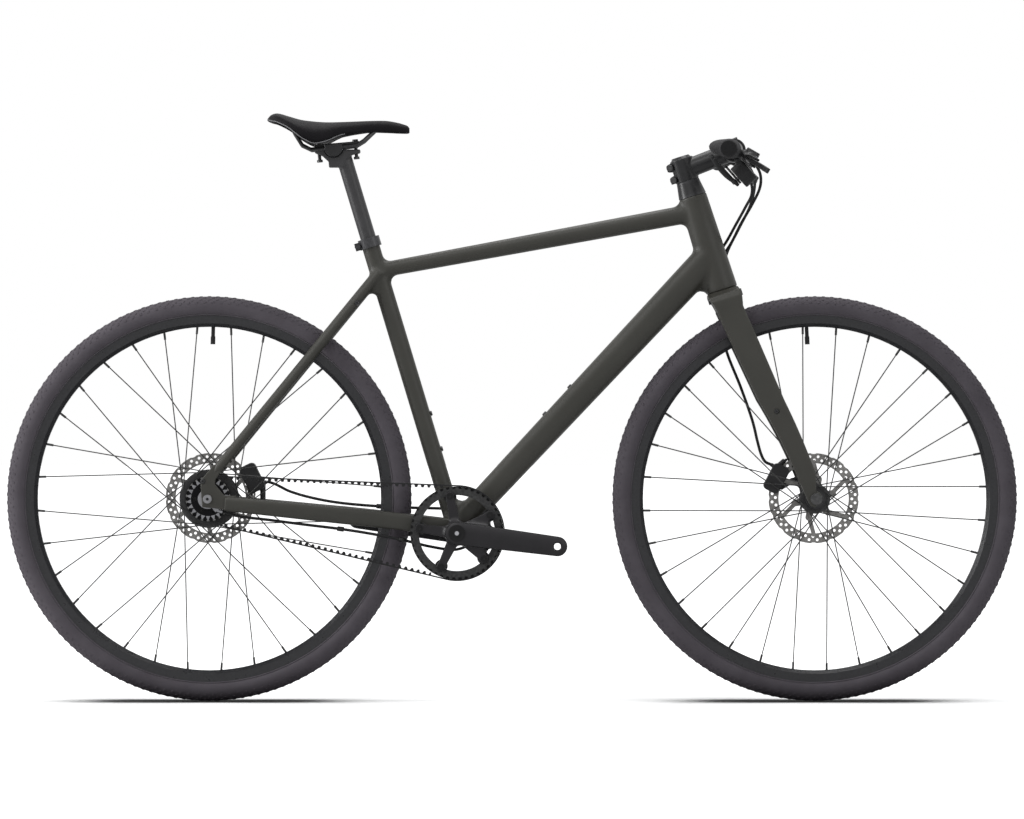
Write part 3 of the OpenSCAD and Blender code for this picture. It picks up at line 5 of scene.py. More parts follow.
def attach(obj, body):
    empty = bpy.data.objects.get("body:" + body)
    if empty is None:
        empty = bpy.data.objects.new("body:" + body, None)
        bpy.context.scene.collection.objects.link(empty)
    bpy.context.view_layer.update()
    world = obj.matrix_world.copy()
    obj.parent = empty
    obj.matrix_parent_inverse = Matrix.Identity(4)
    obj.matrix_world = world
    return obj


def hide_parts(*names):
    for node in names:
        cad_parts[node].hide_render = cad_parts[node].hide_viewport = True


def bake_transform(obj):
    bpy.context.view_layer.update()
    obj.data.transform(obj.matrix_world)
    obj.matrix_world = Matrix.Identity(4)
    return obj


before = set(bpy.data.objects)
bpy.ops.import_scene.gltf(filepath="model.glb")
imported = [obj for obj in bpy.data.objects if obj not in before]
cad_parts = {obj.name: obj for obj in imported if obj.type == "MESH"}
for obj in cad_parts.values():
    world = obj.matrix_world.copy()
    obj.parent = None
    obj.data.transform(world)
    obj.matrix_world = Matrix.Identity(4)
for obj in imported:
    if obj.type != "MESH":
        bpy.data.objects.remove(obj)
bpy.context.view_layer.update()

# The bicycle's own lines, in metres, as in the CAD source
WR = 0.351
RA = V((-0.5245, 0, WR))
FA = V((0.5245, 0, WR))
BB = V((RA.x + math.sqrt(0.4335 ** 2 - 0.059 ** 2), 0, WR - 0.059))
SEAT = V((-math.cos(math.radians(73.2)), 0, math.sin(math.radians(73.2))))
HEAD = V((-math.cos(math.radians(72.6)), 0, math.sin(math.radians(72.6))))
HT = V((BB.x + 0.408, 0, BB.z + 0.5825))
on_seat = lambda s: BB + s * SEAT
on_steer = lambda s: HT + s * HEAD
CLAMP = on_seat(0.700) - 0.012 * V((math.sin(math.radians(73.2)), 0, math.cos(math.radians(73.2))))
BAR = (on_steer(0.048 + 0.092 * math.sin(math.radians(4)))
       + 0.092 * math.cos(math.radians(4)) * V((math.sin(math.radians(72.6)), 0, math.cos(math.radians(72.6)))))
SWEEP, DROP = math.atan(19 / 276), math.atan(8 / 276)
scene = bpy.context.scene


# Camera and light
cam = bpy.data.cameras.new("camera")
cam.lens = 36 * 11.6 / 1.7749
cam.clip_end = 60
eye = bpy.data.objects.new("camera", cam)
eye.location = (0, -11.6, 0.5053)
eye.rotation_euler = (math.radians(90), 0, 0)
scene.collection.objects.link(eye)
scene.camera = eye
scene.view_settings.view_transform = "Standard"


def lamp(name, place, aim, size, power):
    data = bpy.data.lights.new(name, "AREA")
    data.shape = "RECTANGLE"
    data.size, data.size_y = size
    data.energy = power
    ob = bpy.data.objects.new(name, data)
    ob.location = place
    ob.rotation_euler = (V(aim) - V(place)).to_track_quat("-Z", "Y").to_euler()
    scene.collection.objects.link(ob)


lamp("key", (-1.6, -3.2, 3.6), (0, 0, 0.5), (2.4, 1.6), 48)
lamp("top", (0.3, 0.2, 3.4), (0, 0, 0.4), (3.0, 1.4), 60)
lamp("fill", (2.8, -2.6, 1.6), (0, 0, 0.5), (1.6, 2.0), 16)
lamp("side", (-3.6, -0.6, 1.5), (0, 0, 0.6), (1.2, 2.2), 95)

world = bpy.data.worlds.new("studio")
scene.world = world
world.use_nodes = True
wn, wl = world.node_tree.nodes, world.node_tree.links
wn.clear()
out = wn.new("ShaderNodeOutputWorld")
path = wn.new("ShaderNodeLightPath")
seen = wn.new("ShaderNodeMath")
seen.operation = "MAXIMUM"
seen2 = wn.new("ShaderNodeMath")
seen2.operation = "MAXIMUM"
white, grey = wn.new("ShaderNodeBackground"), wn.new("ShaderNodeBackground")
white.inputs[0].default_value = (1, 1, 1, 1)
white.inputs[1].default_value = 1.0
grey.inputs[0].default_value = (0.96, 0.98, 1, 1)
grey.inputs[1].default_value = 0.30
mixw = wn.new("ShaderNodeMixShader")
wl.new(path.outputs["Is Camera Ray"], seen.inputs[0])
wl.new(path.outputs["Is Glossy Ray"], seen.inputs[1])
wl.new(seen.outputs[0], seen2.inputs[0])
wl.new(path.outputs["Is Transmission Ray"], seen2.inputs[1])
wl.new(seen2.outputs[0], mixw.inputs[0])
wl.new(grey.outputs[0], mixw.inputs[1])
wl.new(white.outputs[0], mixw.inputs[2])
wl.new(mixw.outputs[0], out.inputs[0])


# Materials
def material(name, col, rough=0.5, metal=0.0, col2=None, scale=40.0, bump=0.15, bump_scale=900.0,
             bump_kind="noise", wear=None, stretch=(1, 1, 1), coat=0.0, sheen=0.0, edge=0.0, spec=0.5):
    m = bpy.data.materials.new(name)
    m.use_nodes = True
    nt = m.node_tree
    n, l = nt.nodes, nt.links
    bsdf = n["Principled BSDF"]
    bsdf.inputs["Metallic"].default_value = metal
    bsdf.inputs["Coat Weight"].default_value = coat
    bsdf.inputs["Coat Roughness"].default_value = 0.25
    bsdf.inputs["Sheen Weight"].default_value = sheen
    bsdf.inputs["Specular IOR Level"].default_value = spec
    tc = n.new("ShaderNodeTexCoord")
    mp = n.new("ShaderNodeMapping")
    mp.inputs["Scale"].default_value = stretch
    l.new(tc.outputs["Object"], mp.inputs["Vector"])
    big = n.new("ShaderNodeTexNoise")
    big.inputs["Scale"].default_value = scale
    big.inputs["Detail"].default_value = 5
    l.new(mp.outputs[0], big.inputs["Vector"])
    ramp = n.new("ShaderNodeValToRGB")
    ramp.color_ramp.elements[0].position = 0.32
    ramp.color_ramp.elements[1].position = 0.70
    col2 = col2 or tuple(c * 1.35 + 0.002 for c in col)
    ramp.color_ramp.elements[0].color = (*col, 1)
    ramp.color_ramp.elements[1].color = (*col2, 1)
    l.new(big.outputs["Fac"], ramp.inputs[0])
    colour = ramp.outputs[0]
    if wear:
        geo = n.new("ShaderNodeNewGeometry")
        wr = n.new("ShaderNodeMapRange")
        wr.inputs["From Min"].default_value = 0.53
        wr.inputs["From Max"].default_value = 0.62
        l.new(geo.outputs["Pointiness"], wr.inputs[0])
        fine = n.new("ShaderNodeTexNoise")
        fine.inputs["Scale"].default_value = 260
        l.new(tc.outputs["Object"], fine.inputs["Vector"])
        mul = n.new("ShaderNodeMath")
        mul.operation = "MULTIPLY"
        l.new(wr.outputs[0], mul.inputs[0])
        l.new(fine.outputs["Fac"], mul.inputs[1])
        mix = n.new("ShaderNodeMix")
        mix.data_type = "RGBA"
        mix.inputs[7].default_value = (*wear, 1)
        l.new(mul.outputs[0], mix.inputs[0])
        l.new(colour, mix.inputs[6])
        colour = mix.outputs[2]
    l.new(colour, bsdf.inputs["Base Color"])
    rr = n.new("ShaderNodeMapRange")
    rr.inputs["To Min"].default_value = max(rough - 0.09, 0.05)
    rr.inputs["To Max"].default_value = min(rough + 0.09, 1)
    rn = n.new("ShaderNodeTexNoise")
    rn.inputs["Scale"].default_value = scale * 2.3
    rn.inputs["Detail"].default_value = 8
    l.new(mp.outputs[0], rn.inputs["Vector"])
    l.new(rn.outputs["Fac"], rr.inputs[0])
    l.new(rr.outputs[0], bsdf.inputs["Roughness"])
    if bump_kind == "voronoi":
        bt = n.new("ShaderNodeTexVoronoi")
        bt.feature = "SMOOTH_F1"
        height = bt.outputs["Distance"]
    else:
        bt = n.new("ShaderNodeTexNoise")
        bt.inputs["Detail"].default_value = 4
        height = bt.outputs["Fac"]
    bt.inputs["Scale"].default_value = bump_scale
    l.new(mp.outputs[0], bt.inputs["Vector"])
    bp = n.new("ShaderNodeBump")
    bp.inputs["Strength"].default_value = bump
    bp.inputs["Distance"].default_value = 0.0005
    l.new(height, bp.inputs["Height"])
    if edge:
        bv = n.new("ShaderNodeBevel")
        bv.samples = 4
        bv.inputs["Radius"].default_value = edge
        l.new(bv.outputs[0], bp.inputs["Normal"])
    l.new(bp.outputs[0], bsdf.inputs["Normal"])
    return m


paint = material("olive_paint", (0.0222, 0.0214, 0.0168), 0.48, col2=(0.0285, 0.0275, 0.0222), scale=14, bump=0.10,
                 bump_scale=1500, wear=(0.07, 0.07, 0.06), edge=0.0006, spec=0.42)
anodised = material("anodised_black", (0.0060, 0.0060, 0.0068), 0.34, metal=0.15, scale=60, bump=0.05,
                    bump_scale=1800, wear=(0.06, 0.06, 0.065), edge=0.0006, spec=0.45)
satin = material("satin_black", (0.0070, 0.0068, 0.0076), 0.42, scale=50, bump=0.08, wear=(0.06, 0.06, 0.06),
                 edge=0.0006, spec=0.35)
crank_paint = material("crank_black", (0.0052, 0.0045, 0.0060), 0.42, scale=30, bump=0.05, bump_scale=1200,
                       wear=(0.08, 0.08, 0.08), edge=0.0008, spec=0.32)
plastic = material("moulded_black", (0.0075, 0.0075, 0.0082), 0.52, scale=70, bump=0.22, bump_scale=1600,
                   edge=0.0005, spec=0.3)
rubber = material("rubber_black", (0.0075, 0.0075, 0.0080), 0.68, scale=80, bump=0.3, bump_scale=1100, spec=0.25)
tread = material("tyre_tread", (0.0560, 0.0490, 0.0580), 0.78, col2=(0.0720, 0.0640, 0.0745), scale=22, bump=0.35,
                 bump_scale=700, wear=(0.045, 0.043, 0.048), spec=0.30)
grip_rubber = material("grip_rubber", (0.0095, 0.0090, 0.0100), 0.70, scale=60, bump=0.75, bump_scale=420,
                       bump_kind="voronoi", spec=0.3)
rim_black = material("rim_black", (0.0050, 0.0050, 0.0062), 0.30, metal=0.1, scale=30, bump=0.04, bump_scale=900,
                     wear=(0.04, 0.04, 0.045), spec=0.45)
spoke_mat = material("spoke_steel", (0.030, 0.030, 0.030), 0.36, metal=0.5, scale=120, bump=0.03)
ground = material("ground_steel", (0.160, 0.156, 0.150), 0.36, metal=0.9, col2=(0.260, 0.255, 0.248), scale=30,
                  bump=0.12, bump_scale=260, stretch=(6, 1, 6), edge=0.0003)
steel = material("steel_parts", (0.20, 0.20, 0.21), 0.30, metal=1.0, scale=90, bump=0.08, bump_scale=700,
                 edge=0.0003)
bolt_black = material("bolt_black", (0.012, 0.012, 0.013), 0.32, metal=0.5, scale=150, bump=0.08,
                      wear=(0.12, 0.12, 0.12), edge=0.0003)
vinyl = material("saddle_vinyl", (0.0040, 0.0035, 0.0045), 0.58, col2=(0.0062, 0.0055, 0.0068), scale=25, bump=0.35,
                 bump_scale=1400, bump_kind="voronoi", spec=0.10)
tyre_line = material("tyre_line", (0.060, 0.056, 0.062), 0.6, scale=60, bump=0.2, spec=0.3)
post_black = material("post_black", (0.0190, 0.0185, 0.0200), 0.42, scale=50, bump=0.06, wear=(0.08, 0.08, 0.08),
                      edge=0.0006, spec=0.45)
nickel = material("nickel_bolt", (0.33, 0.33, 0.34), 0.28, metal=1.0, scale=120, bump=0.06, bump_scale=900,
                  edge=0.0003)
# Near-black, darker than the other black finishes: painted shade of recesses and hollows, used on the crank bolts, the
# bar-end plugs and the axle socket
recess_shade = material("recess_black", (0.0035, 0.0035, 0.0038), 0.6, scale=120, bump=0.1, spec=0.2)
ring_dark = material("ring_black", (0.0055, 0.0055, 0.0058), 0.44, scale=60, bump=0.06, wear=(0.07, 0.07, 0.07),
                     edge=0.0004, spec=0.16)
# Light grey: partly the piping's own colour, partly a painted highlight of the light along the saddle's lower edge
piping_highlight_mat = material("saddle_piping", (0.10, 0.10, 0.105), 0.45, scale=90, bump=0.3, bump_scale=1500)



def banded(look, centre, radius, inner):
    """Inside the radius around a wheel or crank axis the look turns into another flat colour: a darker finish on the
    rear ring, a light grey bolt head inside the crank bolts' painted recess shade.
    """
    m = look.copy()
    m.name = look.name + "_banded"
    nt = m.node_tree
    n, l = nt.nodes, nt.links
    bsdf = n["Principled BSDF"]
    tc = n.new("ShaderNodeTexCoord")
    sub = n.new("ShaderNodeVectorMath")
    sub.operation = "SUBTRACT"
    sub.inputs[1].default_value = centre
    l.new(tc.outputs["Object"], sub.inputs[0])
    flat = n.new("ShaderNodeVectorMath")
    flat.operation = "MULTIPLY"
    flat.inputs[1].default_value = (1, 0, 1)
    l.new(sub.outputs[0], flat.inputs[0])
    far = n.new("ShaderNodeVectorMath")
    far.operation = "LENGTH"
    l.new(flat.outputs[0], far.inputs[0])
    step = n.new("ShaderNodeMapRange")
    step.inputs["From Min"].default_value = radius - 0.0004
    step.inputs["From Max"].default_value = radius + 0.0004
    l.new(far.outputs["Value"], step.inputs[0])
    mix = n.new("ShaderNodeMix")
    mix.data_type = "RGBA"
    mix.inputs[6].default_value = (*inner, 1)
    l.new(step.outputs[0], mix.inputs[0])
    old = bsdf.inputs["Base Color"].links[0].from_socket
    l.new(old, mix.inputs[7])
    l.new(mix.outputs[2], bsdf.inputs["Base Color"])
    return m


# Crank bolts: painted recess shade, near-black, with a light grey centre bolt head inside 3.6 mm
crank_bolt_look = banded(recess_shade, BB, 0.0036, (0.42, 0.42, 0.44))
rear_ring_look = banded(ground, RA, 0.0372, (0.0060, 0.0060, 0.0066))

LOOKS = {bolt_black: "frame_screws steering_screws saddle_clamp_bolts saddle_rails front_axle",
         anodised: "seat_clamp headset_cover handlebar bottom_bracket_cups",
         recess_shade: "bar_end_plugs",
         satin: "front_hub rear_hub",
         ring_dark: "front_belt_ring",
         crank_bolt_look: "crank_bolts",
         rear_ring_look: "rear_belt_ring",
         plastic: "saddle_shell",
         rubber: "front_inner_tube rear_inner_tube",
         rim_black: "front_rim rear_rim",
         spoke_mat: "front_spokes rear_spokes",
         ground: "front_rotor rear_rotor",
         steel: "headset_bearings crank_spindle rear_axle lever_pins"}


def cad(name):
    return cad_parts[name]


for look, names in LOOKS.items():
    for name in names.split():
        ob = cad(name)
        ob.data.materials.clear()
        ob.data.materials.append(look)


# Building pieces
def place(ob, body, look, smooth=True):
    if ob.name not in scene.collection.objects:
        scene.collection.objects.link(ob)
    ob.data.materials.clear()
    ob.data.materials.append(look)
    if smooth and ob.type == "MESH":
        ob.data.polygons.foreach_set("use_smooth", [True] * len(ob.data.polygons))
    if body:
        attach(ob, body)
    return ob


def mesh(name, verts, faces):
    me = bpy.data.meshes.new(name)
    me.from_pydata([tuple(v) for v in verts], [], faces)
    me.update()
    return bpy.data.objects.new(name, me)


def loft_data(rings, closed=False):
    n, m = len(rings[0]), len(rings)
    verts = [p for r in rings for p in r]
    faces = []
    for i in range(m if closed else m - 1):
        for j in range(n):
            a, b = i * n, ((i + 1) % m) * n
            faces.append((a + j, a + (j + 1) % n, b + (j + 1) % n, b + j))
    if not closed:
        for i, flip in ((0, True), (m - 1, False)):
            c = len(verts)
            verts.append(sum(rings[i], V()) / n)
            for j in range(n):
                q = (i * n + j, i * n + (j + 1) % n, c)
                faces.append(q[::-1] if flip else q)
    return verts, faces


def loft(name, rings, closed=False):
    return mesh(name, *loft_data(rings, closed))


def catmull(pts, steps):
    pts = [V(p) for p in pts]
    n, res = len(pts), []
    for i in range(n - 1):
        a, b, c, d = pts[max(i - 1, 0)], pts[i], pts[i + 1], pts[min(i + 2, n - 1)]
        for k in range(steps):
            t = k / steps
            res.append(0.5 * (2 * b + (c - a) * t + (2 * a - 5 * b + 4 * c - d) * t ** 2
                              + (3 * b - a - 3 * c + d) * t ** 3))
    return res + [pts[-1]]


def tube_rings(pts, radii, sides=16, power=2.0, w=V((0, 1, 0)), wide=1.0):
    """Rings along a path; power over 2 makes the section boxy."""
    rings = []
    for i, p in enumerate(pts):
        t = (pts[min(i + 1, len(pts) - 1)] - pts[max(i - 1, 0)]).normalized()
        v = (w - w.dot(t) * t).normalized()
        u = v.cross(t)
        w = v
        r = radii[i] if hasattr(radii, "__len__") else radii
        ru, rv = r if hasattr(r, "__len__") else (r, r * wide)
        ring = []
        for j in range(sides):
            a = 2 * math.pi * j / sides
            c, s = math.cos(a), math.sin(a)
            ring.append(p + u * ru * math.copysign(abs(c) ** (2 / power), c)
                        + v * rv * math.copysign(abs(s) ** (2 / power), s))
        rings.append(ring)
    return rings


def apply(ob, kind, **values):
    mod = ob.modifiers.new(kind, kind)
    for k, v in values.items():
        setattr(mod, k, v)
    deps = bpy.context.evaluated_depsgraph_get()
    me = bpy.data.meshes.new_from_object(ob.evaluated_get(deps))
    ob.modifiers.clear()
    ob.data = me


def melt(ob, voxel, rounds, fillet=0.0):
    """One closed skin over overlapping shapes, with their edges rounded and their junctions filled."""
    scene.collection.objects.link(ob)
    apply(ob, "REMESH", mode="VOXEL", voxel_size=voxel)
    if fillet:
        apply(ob, "SMOOTH", factor=0.5, iterations=2)
        apply(ob, "DISPLACE", strength=fillet, mid_level=0)
        apply(ob, "REMESH", mode="VOXEL", voxel_size=voxel)
        apply(ob, "SMOOTH", factor=0.5, iterations=5)
        apply(ob, "DISPLACE", strength=-fillet, mid_level=0)
    apply(ob, "SMOOTH", factor=0.5, iterations=rounds)


def rounded_copy(name, nodes, body, look, voxel=0.001, rounds=4, fillet=0.0, shape=None):
    """A new piece with the CAD nodes' shape and softened edges, standing for them."""
    verts, faces = [], []
    for node in nodes:
        ob = cad(node)
        base = len(verts)
        verts += [ob.matrix_world @ v.co for v in ob.data.vertices]
        faces += [tuple(base + i for i in p.vertices) for p in ob.data.polygons]
    ob = mesh(name, verts, faces)
    melt(ob, voxel, rounds, fillet)
    if shape:
        for v in ob.data.vertices:
            v.co = shape(v.co)
        ob.data.update()
    place(ob, body, look)
    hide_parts(*nodes)
    return ob


def union(name, parts):
    verts, faces = [], []
    for v, f in parts:
        base = len(verts)
        verts += v
        faces += [tuple(base + i for i in q) for q in f]
    return mesh(name, verts, faces)


def straight(p, q, r0, r1, n=24, sides=40, power=2.0, wide=1.0):
    pts = [p + (q - p) * i / n for i in range(n + 1)]
    return loft_data(tube_rings(pts, [r0 + (r1 - r0) * i / n for i in range(n + 1)], sides, power, wide=wide))


# Frame: one welded and smoothed skin over the tubes and stays
STAY_Y = 0.0705
DOWN0, DOWN1 = BB + V((0, 0, 0.0095)), on_steer(-0.107)
parts = [straight(on_steer(-0.1706), on_steer(0.0006), 0.028, 0.0245),
         straight(on_seat(0.474), on_steer(-0.0285), 0.0130, 0.0162, power=2.5),
         straight(DOWN0, DOWN1, 0.02125, 0.0265, power=2.9),
         straight(BB, on_seat(0.531), 0.0155, 0.0155),
         straight(BB - V((0, 0.034, 0)), BB + V((0, 0.034, 0)), 0.021, 0.021)]
low = RA + V((0.016, 0, 0.037))
lean = V((math.sin(math.radians(38.6)), 0, math.cos(math.radians(38.6))))
stay_at = lambda k: low + lean * k - V((0.011 - 0.014 * k, 0, 0))
for s in (-1, 1):
    stay = catmull([(-0.100, s * 0.0270, 0.3005), (-0.150, s * 0.030, 0.3065), (-0.235, s * 0.0345, 0.3165),
                    (-0.300, s * 0.0490, 0.3231), (-0.345, s * 0.0600, 0.3277), (-0.400, s * 0.0675, 0.3334),
                    (-0.4545, s * STAY_Y, 0.3389), (-0.4955, s * STAY_Y, 0.343)], 6)
    sizes = [(0.0150 - 0.0025 * max(0, i / (len(stay) - 1) - 0.4) / 0.6, 0.0072) for i in range(len(stay))]
    parts.append(loft_data(tube_rings(stay, sizes, 28, 3.2)))
    q = [stay_at(k) + V((0, s * (STAY_Y + (0.012 - STAY_Y) * k / 0.44), 0)) for k in
         [0.010, 0.022, 0.06, 0.12, 0.2, 0.28, 0.35, 0.41, 0.455]]
    parts.append(loft_data(tube_rings(q, [0.0045, 0.0086, 0.0090, 0.0090, 0.0092, 0.0094, 0.0097, 0.0099, 0.0099], 24)))
skin = union("frame_skin", parts)
melt(skin, 0.0017, 6, fillet=0.008)
place(skin, "frame", paint)
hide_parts("head_tube", "top_tube", "down_tube", "seat_tube", "bottom_bracket_shell", "chainstays",
            "seatstays")

bridge_p = stay_at(0.352)
bridge_y = STAY_Y + (0.012 - STAY_Y) * 0.352 / 0.44 - 0.004
bridge = loft("seatstay_bridge", tube_rings([bridge_p + V((0, y, 0)) for y in
              (-bridge_y, -bridge_y * 0.6, 0, bridge_y * 0.6, bridge_y)],
              [0.0045, 0.0034, 0.0030, 0.0034, 0.0045], 20))
place(bridge, "frame", paint)



def slim_end(p):
    """The leg gets narrower towards the front axle, and its round end is smaller."""
    if p.z > 0.52:
        return p
    k = 0.86 + 0.14 * max(0, (p.z - 0.40) / 0.12) ** 1.5
    x = FA.x - 0.0 if p.z < FA.z + 0.020 else FA.x + (p.z - FA.z - 0.020) * -0.10
    q = V((x + (p.x - x) * k, p.y, p.z))
    if p.z < FA.z:
        q.z = FA.z + (p.z - FA.z) * 0.86
    return q


fork = rounded_copy("fork_skin", ["fork_crown", "fork_legs"], "steering", paint, 0.0016, 6, shape=slim_end)

ACROSS = V((HEAD.z, 0, -HEAD.x))
PINCH = ((0.0580, 0.0232), (0.0357, 0.0237))


def pinch_lug(p):
    """The lug behind the steerer bulges around its two bolts and is thinner between them."""
    q = p - HT
    a, b = q.dot(HEAD), -q.dot(ACROSS)
    if b < 0.0195 or abs(p.y) > 0.012:
        return p
    most = 0.0200
    for pa, pb in PINCH:
        if abs(a - pa) < 0.0068:
            most = max(most, pb + math.sqrt(0.0068 ** 2 - (a - pa) ** 2))
    return p + ACROSS * max(0, b - most)


stem = rounded_copy("stem_body", ["stem"], "steering", anodised, 0.0010, 4, shape=pinch_lug)
heads = []
for pa, pb in PINCH:
    c = HT + HEAD * pa - ACROSS * pb
    prof = [(0.0042, -0.0098), (0.0056, -0.0100), (0.0058, -0.0128), (0.0050, -0.0134), (0.0026, -0.0134),
            (0.0024, -0.0118)]
    heads.append(loft_data([[c + V((r * math.cos(2 * math.pi * j / 24), y, r * math.sin(2 * math.pi * j / 24)))
                             for j in range(24)] for r, y in prof]))
heads = union("stem_pinch_heads", heads)
place(heads, "steering", bolt_black, smooth=False)

# Rounded metal and plastic pieces
for name, nodes, body, look, voxel, rounds, slot in (
        ("stem_front", ["stem_faceplate"], "steering", anodised, 0.0008, 3, "anodised_black"),
        ("post_body", ["seatpost"], "seatpost", post_black, 0.0012, 3, "anodised_black"),
        ("clamp_body", ["saddle_clamp"], "seatpost", anodised, 0.0009, 3, "anodised_black"),
        ("lever_blade_right", ["brake_lever_right"], "brake_lever_right", satin, 0.0007, 6, "satin_black"),
        ("lever_blade_left", ["brake_lever_left"], "brake_lever_left", satin, 0.0007, 6, "satin_black"),
        ("shift_paddle_main", ["shift_lever_main"], "shift_lever_main", plastic, 0.0006, 4, "black_plastic"),
        ("shift_paddle_release", ["shift_lever_release"], "shift_lever_release", plastic, 0.0006, 4,
         "black_plastic"),
        ("caliper_front", ["front_caliper"], "steering", satin, 0.0008, 7, "satin_black"),
        ("caliper_rear", ["rear_caliper"], "frame", satin, 0.0008, 7, "satin_black"),
        ("crank_arm_left", ["crank_left"], "crank", crank_paint, 0.0009, 4, "crank_black")):
    rounded_copy(name, nodes, body, look, voxel, rounds)


ARM = V((math.cos(math.radians(-7.5)), 0, math.sin(math.radians(-7.5))))


def crown(p):
    """The arm's outer face is crowned: it falls away towards both edges."""
    if p.y > -0.0620:
        return p
    q = V((p.x - BB.x, 0, p.z - BB.z))
    d = min(1, (q - ARM * max(0, min(0.170, q.dot(ARM)))).length / 0.0185)
    return V((p.x, p.y + 0.0036 * d ** 2.5 * min(1, (-0.0620 - p.y) / 0.004), p.z))


rounded_copy("lever_mounts", ["brake_lever_brackets"], "steering", satin, 0.0010, 22, fillet=0.004)
rounded_copy("shifter_case", ["shifter_body"], "steering", plastic, 0.0010, 40, fillet=0.004)
rounded_copy("crank_arm_right", ["crank_right"], "crank", crank_paint, 0.0009, 5, fillet=0.006, shape=crown)

# Dropouts: plates that run up into the seatstays and back into the chainstays
DROPOUT = [(-9.2, -13.8), (-11.8, 20.5), (-11.3, 32.8), (11.5, 60), (25, 50.5), (13.5, 33), (13, 25), (29, 6), (50, 5.5),
           (44, -21), (9.8, -15.5)]
parts = []
for y0, y1 in ((-0.0734, -0.0676), (0.0676, 0.0734)):
    flat = [[RA + V((x / 1000, y, z / 1000)) for x, z in DROPOUT] for y in (y0, y1)]
    n = len(DROPOUT)
    parts.append((flat[0] + flat[1], [tuple(range(n)), tuple(range(2 * n - 1, n - 1, -1))]
                  + [(i, n + i, n + (i + 1) % n, (i + 1) % n) for i in range(n)]))
plates = union("dropout_plates", parts)
melt(plates, 0.0009, 4)
place(plates, "frame", paint)
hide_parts("dropouts")
# A near-black hexagon just proud of the axle's end: painted shade standing for the hollow of its hex socket
end_y = min((cad("rear_axle").matrix_world @ v.co).y for v in cad("rear_axle").data.vertices)
ring = [[RA + V((r * math.cos(math.radians(a)), end_y + y, r * math.sin(math.radians(a)))) for a in range(0, 360, 60)]
        for r, y in ((0.0026, 0.001), (0.0028, 0.0002), (0.0028, -0.00015))]
socket_shade = loft("axle_socket", ring)
place(socket_shade, "frame", recess_shade, smooth=False)


# Tyres with a smooth side and a fine block tread
def tyre(name, centre, body, node):
    verts, faces = [], []
    seg, mid = 192, WR - 0.020
    prof = []
    for k in range(25):
        a = math.radians(-152 + 304 * k / 24)
        r = 0.0192 if abs(a) < 2.2 else 0.0186
        prof.append((mid + r * math.cos(a), r * math.sin(a)))
    inner = [(mid + 0.0162 * math.cos(a), 0.0162 * math.sin(a)) for a in
             [math.radians(150 - 300 * k / 12) for k in range(13)]]
    ring2d = prof + inner
    rings = []
    for i in range(seg):
        a = 2 * math.pi * i / seg
        rings.append([centre + V((r * math.cos(a), y, r * math.sin(a))) for r, y in ring2d])
    verts, faces = loft_data(rings, closed=True)
    n = 150
    for row, (phi, wide, long, count) in enumerate(((-62, 4.6, 3.2, n), (62, 4.6, 3.2, n), (-47, 3.4, 2.4, n),
                                                    (47, 3.4, 2.4, n), (-30, 4.2, 4.6, n), (30, 4.2, 4.6, n),
                                                    (-12, 4.6, 5.4, n), (12, 4.6, 5.4, n))):
        for i in range(count):
            a0 = 2 * math.pi * (i + 0.5 * (row // 2 % 2)) / count
            base = len(verts)
            for top in (0, 1):
                rr = 0.01905 + 0.00088 * top
                shrink = 1 - 0.16 * top
                for du, dv in ((-1, -1), (1, -1), (1, 1), (-1, 1)):
                    ph = math.radians(phi) + dv * wide / 2000 * shrink / 0.0195
                    aa = a0 + (du * long / 2000 * shrink + 0.0006 * dv * (1 if row % 2 else -1)) / WR
                    r = mid + rr * math.cos(ph)
                    verts.append(centre + V((r * math.cos(aa), rr * math.sin(ph), r * math.sin(aa))))
            faces += [tuple(base + k for k in q) for q in
                      ((0, 1, 5, 4), (1, 2, 6, 5), (2, 3, 7, 6), (3, 0, 4, 7), (4, 5, 6, 7))]
    ob = mesh(name, verts, faces)
    place(ob, body, tread)
    apply_flat = [len(p.vertices) == 4 and p.index < seg * len(ring2d) for p in ob.data.polygons]
    ob.data.polygons.foreach_set("use_smooth", apply_flat)
    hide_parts(node)


tyre("tyre_front", FA, "front_wheel", "front_tyre")
tyre("tyre_rear", RA, "rear_wheel", "rear_tyre")
for tag, centre in (("front", FA), ("rear", RA)):
    lines = []
    for side in (-1, 1):
        turn = [2 * math.pi * i / 144 for i in range(144)]
        pts = [centre + V((0.3187 * math.cos(a), side * 0.0149, 0.3187 * math.sin(a))) for a in turn]
        ring = []
        for i, p in enumerate(pts):
            out_way = (p - centre - V((0, side * 0.0149, 0))).normalized()
            ring.append([p + out_way * 0.0007 * c + V((0, side * 0.0005 * q, 0)) for c, q in
                         ((1, 0), (0.5, 0.87), (-0.5, 0.87), (-1, 0), (-0.5, -0.87), (0.5, -0.87))])
        lines.append(loft_data(ring, closed=True))
    ob = union("tyre_line_" + tag, lines)
    place(ob, tag + "_wheel", tyre_line)

# Saddle: a padded cover over the shell, with a light piping line on its lower edge, its light grey partly the piping's
# own colour and partly a painted highlight along that edge
STATIONS = [(-114.5, 0.28, 50, 46.5), (-108, 0.53, 57, 44), (-96, 0.76, 59.5, 41), (-76, 0.94, 54, 30.5),
            (-56, 1, 48.5, 15), (-36, 0.975, 46, 4.5), (-21, 0.9, 44.8, 5.5), (-6, 0.77, 44.5, 10.5),
            (14, 0.58, 45.1, 19.5), (39, 0.42, 46.3, 24), (64, 0.33, 47.3, 27), (89, 0.28, 47.1, 26.5),
            (109, 0.24, 44, 25.5), (122, 0.205, 40.4, 25), (128, 0.155, 38, 25), (131.2, 0.08, 34, 26)]


def saddle_station(t):
    i = min(int(t), len(STATIONS) - 2)
    f = t - i
    a, b, c, d = [STATIONS[min(max(i + k, 0), len(STATIONS) - 1)] for k in (-1, 0, 1, 2)]
    return [0.5 * (2 * q + (r - p) * f + (2 * p - 5 * q + 4 * r - s) * f * f + (3 * q - p - 3 * r + s) * f ** 3)
            for p, q, r, s in zip(a, b, c, d)]


